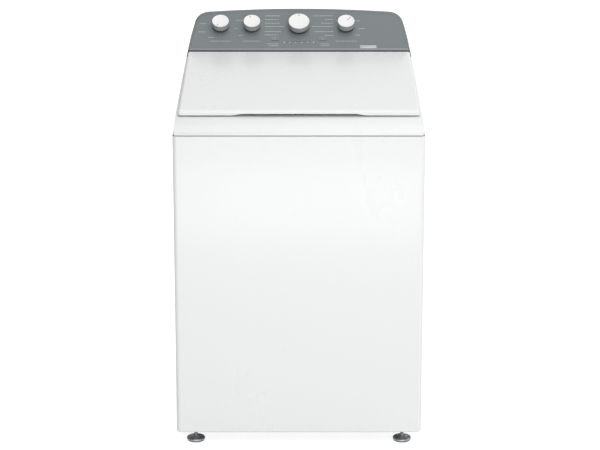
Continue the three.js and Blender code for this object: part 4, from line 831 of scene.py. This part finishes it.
CAPTIONS_FIRST = (  # across, up and width of the plain captions left of the middle knob
    (-250, 125, 13), (-281, 107, 20), (-284, 74, 22), (-257, 51, 17), (-230, 37, 62),
    (-176, 121, 18), (-184, 88, 10), (-171, 60, 12), (-138, 37, 48),
)
CYCLES_LEFT = ((44, 139), (40, 124), (44, 109), (58, 96), (48, 75), (40, 62))  # width, up
CYCLES_RIGHT = ((58, 139), (24, 124), (34, 109), (62, 96), (54, 75), (24, 60))
CAPTIONS_LAST = (
    (172, 119, 20), (184, 88, 18), (172, 61, 14), (138, 37, 62),
    (-76, 26, 36), (-74, 19, 28), (76, 26, 30), (76, 19, 24),
)
TICKS = ((-230, 29, 208, 330, 5), (-138, 29, 230, 350, 4), (138, 29, 20, 130, 4))
LAMP_MARKS = (-43, -27, -10, 8, 25, 43)


def legends():
    """Plain marks where the real face has its printing; no letters anywhere."""
    marks = []
    for spot in CAPTIONS_FIRST:
        marks += caption(*spot)
    for i, (wide, up) in enumerate(CYCLES_LEFT):
        marks += caption(-100 + wide / 2, up, wide, 2.3 if i == 0 else 1.6)
    for i, (wide, up) in enumerate(CYCLES_RIGHT):
        marks += caption(100 - wide / 2, up, wide, 1.9 if i == 0 else 1.6)
    for spot in CAPTIONS_LAST:
        marks += caption(*spot)
    for arc in TICKS:
        marks += arc_ticks(*arc)
    for x in LAMP_MARKS:
        if x in (LAMP_MARKS[0], LAMP_MARKS[-1]):
            shape = circle(3.4, 3, turn=math.radians(90), x=x, y=LENS_UP)
        else:
            shape = circle(1.9, 12, x=x, y=LENS_UP)
        marks.append(plate(shape, 0.38, 0.5))
    printing = place(join(marks), FACE_FRAME)
    complete(printing, "panel_marks", "cabinet", PRINT_LIGHT, "console_plastic")


def badge():
    """A blank silver plate low on the right of the control face."""
    plain = plate(rounded(178, 8, 226, 20, 1.2), 0.36, 1.1)
    round_edges(plain, 0.3, 2, 30)
    place(plain, FACE_FRAME)
    complete(plain, "blank_badge", "cabinet", BADGE_SILVER, "console_plastic", smooth=30)


console_shell()
control_overlay()
lip_reflection_strip()
for knob_name, knob in KNOBS.items():
    knob_piece(knob_name, *knob)
for key_name, key_x in KEYS.items():
    key_piece(key_name, key_x)
lens_piece()
legends()
badge()


# ---------- Body ----------
CABINET_FOOT_Z, FOOT_ROLL = 40, 4.5


def top_shell():
    """The top's pressed shell; the step above the seam carries the shadowed finish."""
    shell = softened("top_panel", "top_shell", 0.45, ENAMEL, segments=3, angle=40, smooth=40)
    shell.data.materials.append(PAINTED_SHADE)
    for face in shell.data.polygons:
        if face.center.z < (SEAM_Z + 2.6) * MM:
            face.material_index = 1


def rolled_in(height):
    """How far the cabinet's foot edge is rolled inwards at a height, in millimetres."""
    drop = min(max(CABINET_FOOT_Z + FOOT_ROLL - height, 0), FOOT_ROLL)
    return FOOT_ROLL - math.sqrt(FOOT_ROLL**2 - drop**2)


def cabinet_shell():
    """The wrapped sheet, its foot edge rolled under and painted darker as shade."""
    shell = copy_of("cabinet_wrap")
    for part in (1.0, 0.6, 0.34, 0.15):
        height = (CABINET_FOOT_Z + part * FOOT_ROLL) * MM
        all_of(shell)
        bpy.ops.mesh.bisect(plane_co=(0, 0, height), plane_no=(0, 0, 1))
        done()
    for vertex in shell.data.vertices:
        inwards = rolled_in(vertex.co.z / MM) * MM
        across, along = abs(vertex.co.x) > 0.335, vertex.co.y < -0.335
        share = 0.7 if across and along else 1
        if inwards and across:
            vertex.co.x -= math.copysign(inwards * share, vertex.co.x)
        if inwards and along:
            vertex.co.y += inwards * share
    round_edges(shell, 0.3, 2, 40)
    complete(shell, "cabinet_shell", "cabinet", ENAMEL, "white_enamel", ["cabinet_wrap"], 35)
    # Painted shade on the lowest faces of the rolled foot edge.
    shell.data.materials.append(PAINTED_SHADE)
    for face in shell.data.polygons:
        if face.center.z < (CABINET_FOOT_Z + 1.9) * MM:
            face.material_index = 1


top_shell()
cabinet_shell()


# ---------- Feet ----------
def screw_thread(radius, depth, low, high, pitch):
    """Points up the outside of a threaded length, for a spun profile."""
    points, z = [], low
    while z < high - 1e-6:
        points += [(radius - depth, z), (radius, min(z + pitch / 2, high))]
        z += pitch
    return points


def levelling_foot(corner):
    """A rubber sole, a dished steel pad, a threaded stem and its lock nut."""
    node = corner + "_foot"
    low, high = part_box(node)
    spot = Matrix.Translation(((low.x + high.x) / 2, (low.y + high.y) / 2, 0))
    sole = spun([(0, 0), (22, 0), (23.6, 0.5), (24.4, 1.8), (24.4, 3.4), (0, 3.4)], 56)
    complete(place(sole, spot), node + "_sole", node, RUBBER, "black_rubber")
    pad = spun(
        [
            (0, 3), (24.6, 3), (25.7, 3.8), (26, 5.2), (25.9, 7.6), (25.2, 9), (24, 9.8), (22.2, 9.9),
            (19.5, 9.5), (15.5, 10.2), (12.4, 12.2), (10.6, 13.6), (8.4, 14.6), (0, 14.6),
        ],
        64,
    )
    stem = spun([(0, 14)] + screw_thread(5, 0.55, 14.2, 76, 2.0) + [(4.2, 76), (0, 76)], 20)
    nut = plate(circle(9.6, 6), 32, 40)
    round_edges(nut, 0.6, 2, 30)
    whole = place(join([pad, stem, nut]), spot)
    complete(whole, node + "_pad", node, FOOT_METAL, "galvanised_steel", [node], 40)


for corner_name in CORNERS:
    levelling_foot(corner_name)


# ---------- Basket, rings and agitator ----------
def perforated_wall(radius, low, high, columns, rows, hole):
    """A tube of thin sheet with a round-cornered hole in every cell of its grid."""
    deselect()
    bpy.ops.mesh.primitive_circle_add(vertices=columns, radius=radius * MM, fill_type="NOTHING")
    wall = bpy.context.active_object
    wall.data.transform(Matrix.Translation((0, 0, low * MM)))
    step = (high - low) / rows
    all_of(wall)
    for _ in range(rows):
        bpy.ops.mesh.extrude_edges_move(TRANSFORM_OT_translate={"value": (0, 0, step * MM)})
    bpy.ops.mesh.select_all(action="SELECT")
    bpy.ops.mesh.normals_make_consistent(inside=False)
    done()
    top, bottom = (high - step * 0.6) * MM, (low + step * 0.6) * MM
    wide = 2 * math.pi * radius / columns
    choose(wall, "FACE", lambda f: bottom < f.center.z < top)
    bpy.ops.mesh.inset(use_individual=True, thickness=(wide - hole) / 2 * MM)
    done()
    small = (step - (wide - hole)) * 1.02 * hole * MM * MM

    def in_cell_middle(face):
        height = face.center.z
        centred = abs((height / MM - low) % step - step / 2) < 0.01
        return face.area < small and bottom < height < top and len(face.vertices) == 4 and centred

    choose(wall, "FACE", in_cell_middle)
    bpy.ops.mesh.delete(type="ONLY_FACE")
    done()
    return wall


def basket_drum():
    """The drum: its perforated wall, a floor with pressed rings, a plain collar and a bead."""
    wall = perforated_wall(radius=261.3, low=430, high=822, columns=84, rows=20, hole=6.4)
    modify(wall, "SOLIDIFY", thickness=1.4 * MM, offset=0)
    floor = spun(
        [
            (24.4, 404), (238, 404), (243, 404.6), (251, 408), (256, 412), (260, 419), (262, 426),
            (262, 431), (260.5, 431), (260.4, 426), (258.4, 419.5), (254.6, 413.4), (249.6, 409.6),
            (242, 406.2), (236, 405.6), (232, 406.8), (226, 406.8), (222, 405.6), (200, 405.6),
            (196, 406.8), (190, 406.8), (186, 405.6), (24.4, 405.6),
        ],
        96,
    )
    collar = spun([(260.5, 821), (262, 821), (262, 837.5), (260.5, 837.5)], 96)
    band = spun([(260.4, 628), (259.2, 629.5), (258.8, 632), (259.2, 634.5), (260.4, 636)], 96)
    drum = join([wall, floor, collar, band])
    complete(place(drum, TUB_FRAME), "basket_drum", "basket", STAINLESS, "basket_steel", ["basket"], 40)


def balance_ring():
    """The hollow hoop on the drum's rim."""
    ring = spun(
        [
            (247, 838), (270, 838), (271, 839), (271, 868), (270.2, 870.4), (268, 872), (252, 872),
            (249.6, 871.2), (247, 868.6), (244.6, 865.4), (243.2, 862), (243, 858), (244.4, 848),
            (246.2, 839),
        ],
        112,
    )
    place(ring, TUB_FRAME)
    complete(ring, "balance_hoop", "basket", WHITE_PLASTIC, "white_plastic", ["balance_ring"], 40)


def splash_ring():
    """The ring clipped over the tub's rim, with its rolled inner lip and clips."""
    ring = spun(
        [
            (296.3, 870), (299, 870), (299, 884.4), (298.2, 886.6), (296, 888.4), (291.5, 891.8),
            (289, 892.6), (256, 896), (252, 896.3), (249.4, 895.8), (248.2, 894.6), (248, 893),
            (248, 889.2), (248.8, 888.4), (250, 888.2), (252.5, 889.4), (280, 886.4), (280, 880.3),
            (296.3, 880.3),
        ],
        128,
    )
    clips = []
    for i in range(12):
        clip = block((298.4, -7, 871), (299, 7, 879))
        clips.append(place(clip, Matrix.Rotation(2 * math.pi * (i + 0.5) / 12, 4, "Z")))
    whole = place(join([ring, *clips]), TUB_FRAME)
    complete(whole, "splash_ring", "tub", WHITE_PLASTIC, "white_plastic", ["tub_ring"], 40)


AGITATOR_BELL = [
    (168, 416), (168, 420.5), (166.6, 422.4), (160, 424.4), (143, 429.6), (126, 436), (110, 443.2),
    (97, 451), (86, 460.5), (76, 472.5), (69, 484.5), (63.5, 498), (58.8, 514), (55, 532), (52.4, 552),
    (50.6, 580), (49, 630), (47.6, 700), (46, 780),
]
FIN_RIDGE = [
    (50, 612), (53.5, 604), (60, 590), (70, 561), (82, 534), (98, 504), (120, 478), (142, 457), (160, 441),
    (163.6, 437.4), (165.2, 433), (165.6, 427), (164.6, 423),
]
FIN_ROOT = [
    (145, 427.4), (126, 434), (108, 442.4), (86, 458.6), (69, 482), (57, 516), (51, 550), (48.6, 600),
]


def agitator_body():
    """The hollow bell on its hub, with four fins and the lip that the cap sits in."""
    inner = [(r - 3, z) for r, z in reversed(AGITATOR_BELL)]
    bell = spun(AGITATOR_BELL + inner, 96)
    fins = []
    for i in range(4):
        fin = plate(FIN_RIDGE + FIN_ROOT, -3.2, 3.2)
        round_edges(fin, 2.2, 4, 40)
        fins.append(place(fin, Matrix.Rotation(math.pi / 4 + i * math.pi / 2, 4, "Z") @ STAND_UP))
    hub = spun([(11.8, 440), (24, 440), (24, 494), (61, 494), (61, 497.8), (11.8, 497.8)], 48)
    lip = spun([(46.2, 779.9), (47.4, 778.8), (47.4, 774), (46.4, 772.6), (44, 772.6), (44, 779.9)], 96)
    whole = place(join([bell, hub, lip, *fins]), TUB_FRAME)
    complete(whole, "agitator_body", "agitator", AGITATOR_PLASTIC, "agitator_plastic", ["agitator"], 40)


def agitator_lid():
    """The lift-off cap: a domed skin with a skirt below and a low bar to hold it by."""
    cap = spun(
        [
            (0, 801.3), (12, 801.1), (22, 800.4), (31, 798.6), (37.5, 796), (42, 792.4), (45, 788.4),
            (46, 785.4), (46, 780.3), (42, 780.3), (42, 762.3), (40, 762.3), (40, 790), (30, 795.6),
            (20, 797.6), (0, 798.3),
        ],
        80,
    )
    grip = plate(rounded(-15, -2.6, 15, 2.6, 2.5), 799.2, 801.3)
    round_edges(grip, 0.8, 3, 40)
    whole = place(join([cap, grip]), TUB_FRAME)
    finish = (AGITATOR_PLASTIC, "agitator_plastic")
    complete(whole, "agitator_lid", "agitator_cap", *finish, ["agitator_cap"], 40)


basket_drum()
balance_ring()
splash_ring()
agitator_body()
agitator_lid()


# ---------- Springs and drain hose ----------
def suspension_spring(corner):
    """A round-wire coil standing where the suspension spring is."""
    node = corner + "_suspension_spring"
    low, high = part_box(node)
    middle = (low + high) / 2
    wire, coil, turns = 1.7, 13, 5
    rise = (high.z - low.z) / MM - 2 * wire
    deselect()
    bpy.ops.mesh.primitive_circle_add(vertices=10, radius=wire * MM, fill_type="NOTHING")
    spring = bpy.context.active_object
    for vertex in spring.data.vertices:
        vertex.co = Vector((coil * MM + vertex.co.x, 0, vertex.co.y))
    modify(
        spring, "SCREW", axis="Z", angle=2 * math.pi, screw_offset=rise / turns * MM, iterations=turns,
        steps=24, render_steps=24, use_merge_vertices=False, use_smooth_shade=True,
    )
    all_of(spring)
    bpy.ops.mesh.fill_holes(sides=0)
    bpy.ops.mesh.select_all(action="SELECT")
    bpy.ops.mesh.normals_make_consistent(inside=False)
    done()
    place(spring, Matrix.Translation((middle.x, middle.y, low.z + wire * MM)))
    bpy.ops.object.shade_smooth_by_angle(angle=math.radians(50))
    spring.name = spring.data.name = corner + "_coil_spring"
    spring.data.materials.append(ZINC)
    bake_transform(spring)
    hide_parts(node)


HOSE_RADIUS, HOSE_BORE, HOSE_VALLEY = 11.9, 9, 10.6
HOSE_ROUTE = [
    (212.3, -183, 349.7), (228, -183, 349.7), (274, -166, 344), (300, -120, 338), (316, -60, 334),
    (322, 20, 334), (324, 110, 342), (324, 180, 372), (322, 224, 430), (322, 240, 520), (322, 246, 640),
    (321, 252, 740), (316, 268, 810), (300, 294, 842), (287, 314, 846), (285, 343, 846),
]


def drain_hose():
    """A ribbed hose from the pump, up the rear corner and out through the back."""
    deselect()
    path = bpy.data.curves.new("hose_path", "CURVE")
    path.dimensions = "3D"
    path.resolution_u = 24
    line = path.splines.new("BEZIER")
    line.bezier_points.add(len(HOSE_ROUTE) - 1)
    for point, spot in zip(line.bezier_points, HOSE_ROUTE):
        point.co = Vector(spot) * MM
        point.handle_left_type = point.handle_right_type = "AUTO"
    guide = bpy.data.objects.new("hose_path", path)
    bpy.context.scene.collection.objects.link(guide)
    bpy.context.view_layer.update()
    length = line.calc_length() / MM
    outside, z = [(HOSE_BORE, 0)], 0.0
    while z < 26:  # the plain cuff
        outside += [(HOSE_RADIUS, z), (HOSE_RADIUS, z + 5)]
        z += 6
    while z < length - 34:  # the ribs
        outside += [(HOSE_RADIUS, z), (HOSE_RADIUS, z + 1.6), (HOSE_VALLEY, z + 2.4), (HOSE_VALLEY, z + 4.2)]
        z += 5
    outside += [(HOSE_RADIUS, length - 30), (HOSE_RADIUS, length), (HOSE_BORE, length)]
    hose = spun(outside, 16)
    modify(hose, "CURVE", object=guide, deform_axis="POS_Z")
    bpy.data.objects.remove(guide)
    take(hose)
    bpy.ops.object.shade_smooth_by_angle(angle=math.radians(45))
    hose.name = hose.data.name = "ribbed_drain_hose"
    hose.data.materials.append(HOSE_GREY)
    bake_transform(hose)
    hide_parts("drain_hose")


for corner_name in CORNERS:
    suspension_spring(corner_name)
drain_hose()


# ---------- Back ----------
def twin(piece, matrix):
    """A second piece of the same shape, moved by a matrix in metres."""
    other = bpy.data.objects.new(piece.name + "_twin", piece.data.copy())
    bpy.context.scene.collection.objects.link(other)
    return place(other, matrix)


def screw_heads(spots):
    """Washer-headed screws with a cross in the head, at (across, height) places on the back."""
    head = spun(
        [(0, -0.4), (5.2, -0.4), (5.2, 0.5), (4.6, 0.9), (3.4, 1.1), (3.1, 2.2), (2.4, 2.9), (0, 3.1)], 20
    )
    carve(head, block((-2, -0.35, 2.3), (2, 0.35, 4)))
    carve(head, block((-0.35, -2, 2.3), (0.35, 2, 4)))
    heads = [twin(head, shift(x, BACK_SHEET_Y, z) @ FACE_BACK) for x, z in spots]
    bpy.data.objects.remove(head)
    return heads


def pressed_rib(z0):
    """A long shallow swelling pressed out of the sheet, with sloping sides."""
    rib = plate(rounded(-250, -z0 - 26, 250, -z0, 12.9, 6), -0.2, 2.4)
    choose(rib, "VERT", lambda v: v.co.z > 0.002)
    middle = (0, -(z0 + 13) * MM, 0.0024)
    bpy.ops.transform.resize(value=(0.988, 0.76, 1), center_override=middle)
    done()
    round_edges(rib, 0.8, 2, 20)
    return place(rib, shift(y=BACK_SHEET_Y) @ FACE_BACK)


def back_panel():
    """The rear sheet with its pressed ribs and the screws round its edge."""
    sheet = copy_of("rear_panel")
    round_edges(sheet, 0.3, 2, 40)
    ribs = [pressed_rib(z) for z in (150, 300, 450, 600, 720)]
    spots = [(x, z) for x in (-332, 332) for z in (70, 230, 390, 550, 710, 870)]
    spots += [(x, 893) for x in (-240, -60, 90, 240)] + [(x, 60) for x in (-200, 0, 200)]
    whole = join([sheet, *ribs, *screw_heads(spots)])
    complete(whole, "back_sheet", "cabinet", ZINC, "galvanised_steel", ["rear_panel"], 35)


def water_ports():
    """The valve's body, its two coils and the threaded hose ports that stand out of the back."""
    body = copy_of("inlet_valve")
    round_edges(body, 0.8, 2, 50)
    crests = screw_thread(13.2, 0.9, 0.6, 12.6, 2.4)
    threads = []
    for x in (-182, -132):
        thread = spun([(10.6, 0.2), (13.0, 0.2), *crests, (12.2, 13.2), (10.6, 13.4)], 40)
        threads.append(place(thread, shift(x, BACK_SHEET_Y + 1, 850) @ FACE_BACK))
    whole = join([body, *threads])
    complete(whole, "water_ports", "cabinet", WHITE_PLASTIC, "white_plastic", ["inlet_valve"], 40)


def console_back():
    """The console's rear cover and its screws."""
    cover = copy_of("console_back_cover")
    round_edges(cover, 0.5, 2, 50)
    spots = [(-280, 1050), (280, 1050), (-130, 1088), (130, 1088), (0, 1034)]
    whole = join([cover, *screw_heads(spots)])
    complete(whole, "console_back", "cabinet", CONSOLE_GREY, "console_plastic", ["console_back_cover"], 35)


back_panel()
water_ports()
console_back()


# ---------- Carried shapes with rounded edges ----------
SOFT_EDGES = {
    "base_frame": ("base_tray", 0.8, ZINC),
    "bleach_dispenser": ("bleach_cup", 0.6, WHITE_PLASTIC),
    "lid_strike": ("lid_tongue", 0.5, GREY_PLASTIC),
    "lid_lock_housing": ("lock_case", 0.8, DARK_PLASTIC),
    "lid_lock_bolt": ("lock_tongue", 0.5, GREY_PLASTIC),
    "left_lid_bumper": ("left_bumper", 0.6, RUBBER),
    "right_lid_bumper": ("right_bumper", 0.6, RUBBER),
    "left_hinge_bracket": ("left_hinge_post", 0.4, ZINC),
    "right_hinge_bracket": ("right_hinge_post", 0.4, ZINC),
    "left_hinge_pin": ("left_pivot", 0.4, ZINC),
    "right_hinge_pin": ("right_pivot", 0.4, ZINC),
    "cord_gland": ("cord_bush", 0.6, DARK_PLASTIC),
    "outer_tub": ("tub_shell", 1.0, TUB_PLASTIC),
    "bearing_housing": ("bearing_casting", 1.2, ALUMINIUM),
    "gearcase": ("gear_can", 1.0, ZINC),
    "spin_tube": ("spin_sleeve", 0.5, ZINC),
    "drive_pulley": ("large_pulley", 0.6, ALUMINIUM),
    "motor_housing": ("motor_can", 1.2, ALUMINIUM),
    "motor_rotor": ("motor_spindle", 0.5, ZINC),
    "drain_pump": ("pump_case", 1.0, DARK_PLASTIC),
    "drive_belt": ("ribbed_belt", 0.5, RUBBER),
    "fill_spout": ("fill_pipe", 0.5, DARK_PLASTIC),
    "control_board": ("control_circuit", 0.3, BOARD),
}
for corner_name in CORNERS:
    SOFT_EDGES[corner_name + "_suspension_rod"] = (corner_name + "_hanger", 0.4, ZINC)
for switch in KNOBS:
    SOFT_EDGES[switch + "_switch"] = (switch + "_selector", 0.5, DARK_PLASTIC)
for node, (piece_name, edge, look) in SOFT_EDGES.items():
    softened(node, piece_name, edge, look, segments=2, angle=44, smooth=40)


# ---------- Studio ----------
FLOOR_GLOW = (0.33, 0.86)  # what the machine gets from the floor, and what the camera sees


def studio_floor():
    """A pale floor that reads white to the camera, but gives back only part of that light."""
    deselect()
    bpy.ops.mesh.primitive_plane_add(size=60, location=(0, 0, -0.0005))
    floor = bpy.context.active_object
    floor.name = "studio_floor"
    material, tree, shader = start_finish("studio_floor_paint", roughness=0.9)
    shader.inputs["Base Color"].default_value = (0.5, 0.5, 0.5, 1)
    shader.inputs["Emission Color"].default_value = (1, 1, 1, 1)
    paths = tree.nodes.new("ShaderNodeLightPath")
    glow = tree.nodes.new("ShaderNodeMapRange")
    glow.inputs["To Min"].default_value, glow.inputs["To Max"].default_value = FLOOR_GLOW
    tree.links.new(paths.outputs["Is Camera Ray"], glow.inputs["Value"])
    tree.links.new(glow.outputs["Result"], shader.inputs["Emission Strength"])
    floor.data.materials.append(material)


def studio_light(name, place_at, aim, size, power):
    """A soft rectangular lamp, in metres and watts, turned towards a point."""
    lamp = bpy.data.lights.new(name, "AREA")
    lamp.shape = "RECTANGLE"
    lamp.size, lamp.size_y = size
    lamp.energy = power
    lamp.use_shadow = True
    holder = bpy.data.objects.new(name, lamp)
    bpy.context.scene.collection.objects.link(holder)
    holder.location = place_at
    holder.rotation_euler = (Vector(aim) - Vector(place_at)).to_track_quat("-Z", "Y").to_euler()


SURROUNDING_LEVELS = ((0.14, 0.04), (0.47, 0.98), (0.75, 0.98), (1.0, 0.5))  # from far left to right
CAMERA_AT = (0.003, -6.741, 2.6087)
CAMERA_DOWN = math.radians(17)
LENS_LENGTH, SENSOR_WIDTH = 145.8, 36.0


def studio_surroundings():
    """White all round, dim to the machine's left, so that its left edge reads dark."""
    world = bpy.data.worlds.new("studio_surroundings")
    bpy.context.scene.world = world
    world.use_nodes = True
    tree = world.node_tree
    sky = tree.nodes["Background"]
    out = tree.nodes["World Output"]
    coordinates = tree.nodes.new("ShaderNodeTexCoord")
    split = tree.nodes.new("ShaderNodeSeparateXYZ")
    centred = tree.nodes.new("ShaderNodeMapRange")
    centred.inputs["From Min"].default_value = -1.0
    side = tree.nodes.new("ShaderNodeValToRGB")
    for position, _ in SURROUNDING_LEVELS[1:-1]:
        side.color_ramp.elements.new(position)
    for element, (position, level) in zip(side.color_ramp.elements, SURROUNDING_LEVELS):
        element.position = position
        element.color = (level, level, level, 1)
    tree.links.new(coordinates.outputs["Generated"], split.inputs["Vector"])
    tree.links.new(split.outputs["X"], centred.inputs["Value"])
    tree.links.new(centred.outputs["Result"], side.inputs["Fac"])
    tree.links.new(side.outputs["Color"], sky.inputs["Color"])
    seen = tree.nodes.new("ShaderNodeBackground")
    seen.inputs["Color"].default_value = (1, 1, 1, 1)
    paths = tree.nodes.new("ShaderNodeLightPath")
    either = tree.nodes.new("ShaderNodeMixShader")
    tree.links.new(paths.outputs["Is Camera Ray"], either.inputs["Fac"])
    tree.links.new(sky.outputs["Background"], either.inputs[1])
    tree.links.new(seen.outputs["Background"], either.inputs[2])
    tree.links.new(either.outputs["Shader"], out.inputs["Surface"])


def studio_camera():
    """A long lens in front of the machine, looking a little down on it."""
    lens = bpy.data.cameras.new("studio_camera")
    lens.lens, lens.sensor_width = LENS_LENGTH, SENSOR_WIDTH
    holder = bpy.data.objects.new("studio_camera", lens)
    bpy.context.scene.collection.objects.link(holder)
    holder.location = CAMERA_AT
    holder.rotation_euler = (math.pi / 2 - CAMERA_DOWN, 0, 0)
    bpy.context.scene.camera = holder


studio_floor()
studio_surroundings()
studio_light("key_light", (0.7, -4.0, 3.6), (0, 0, 0.6), (2.6, 2.0), 21)
studio_light("top_light", (0.2, -0.9, 4.2), (0, 0, 0.9), (3.0, 2.6), 18)
studio_light("front_light", (0.2, -4.4, 0.6), (0, -0.3, 0.25), (2.4, 0.9), 22)
studio_camera()
bpy.context.scene.view_settings.view_transform = "Standard"
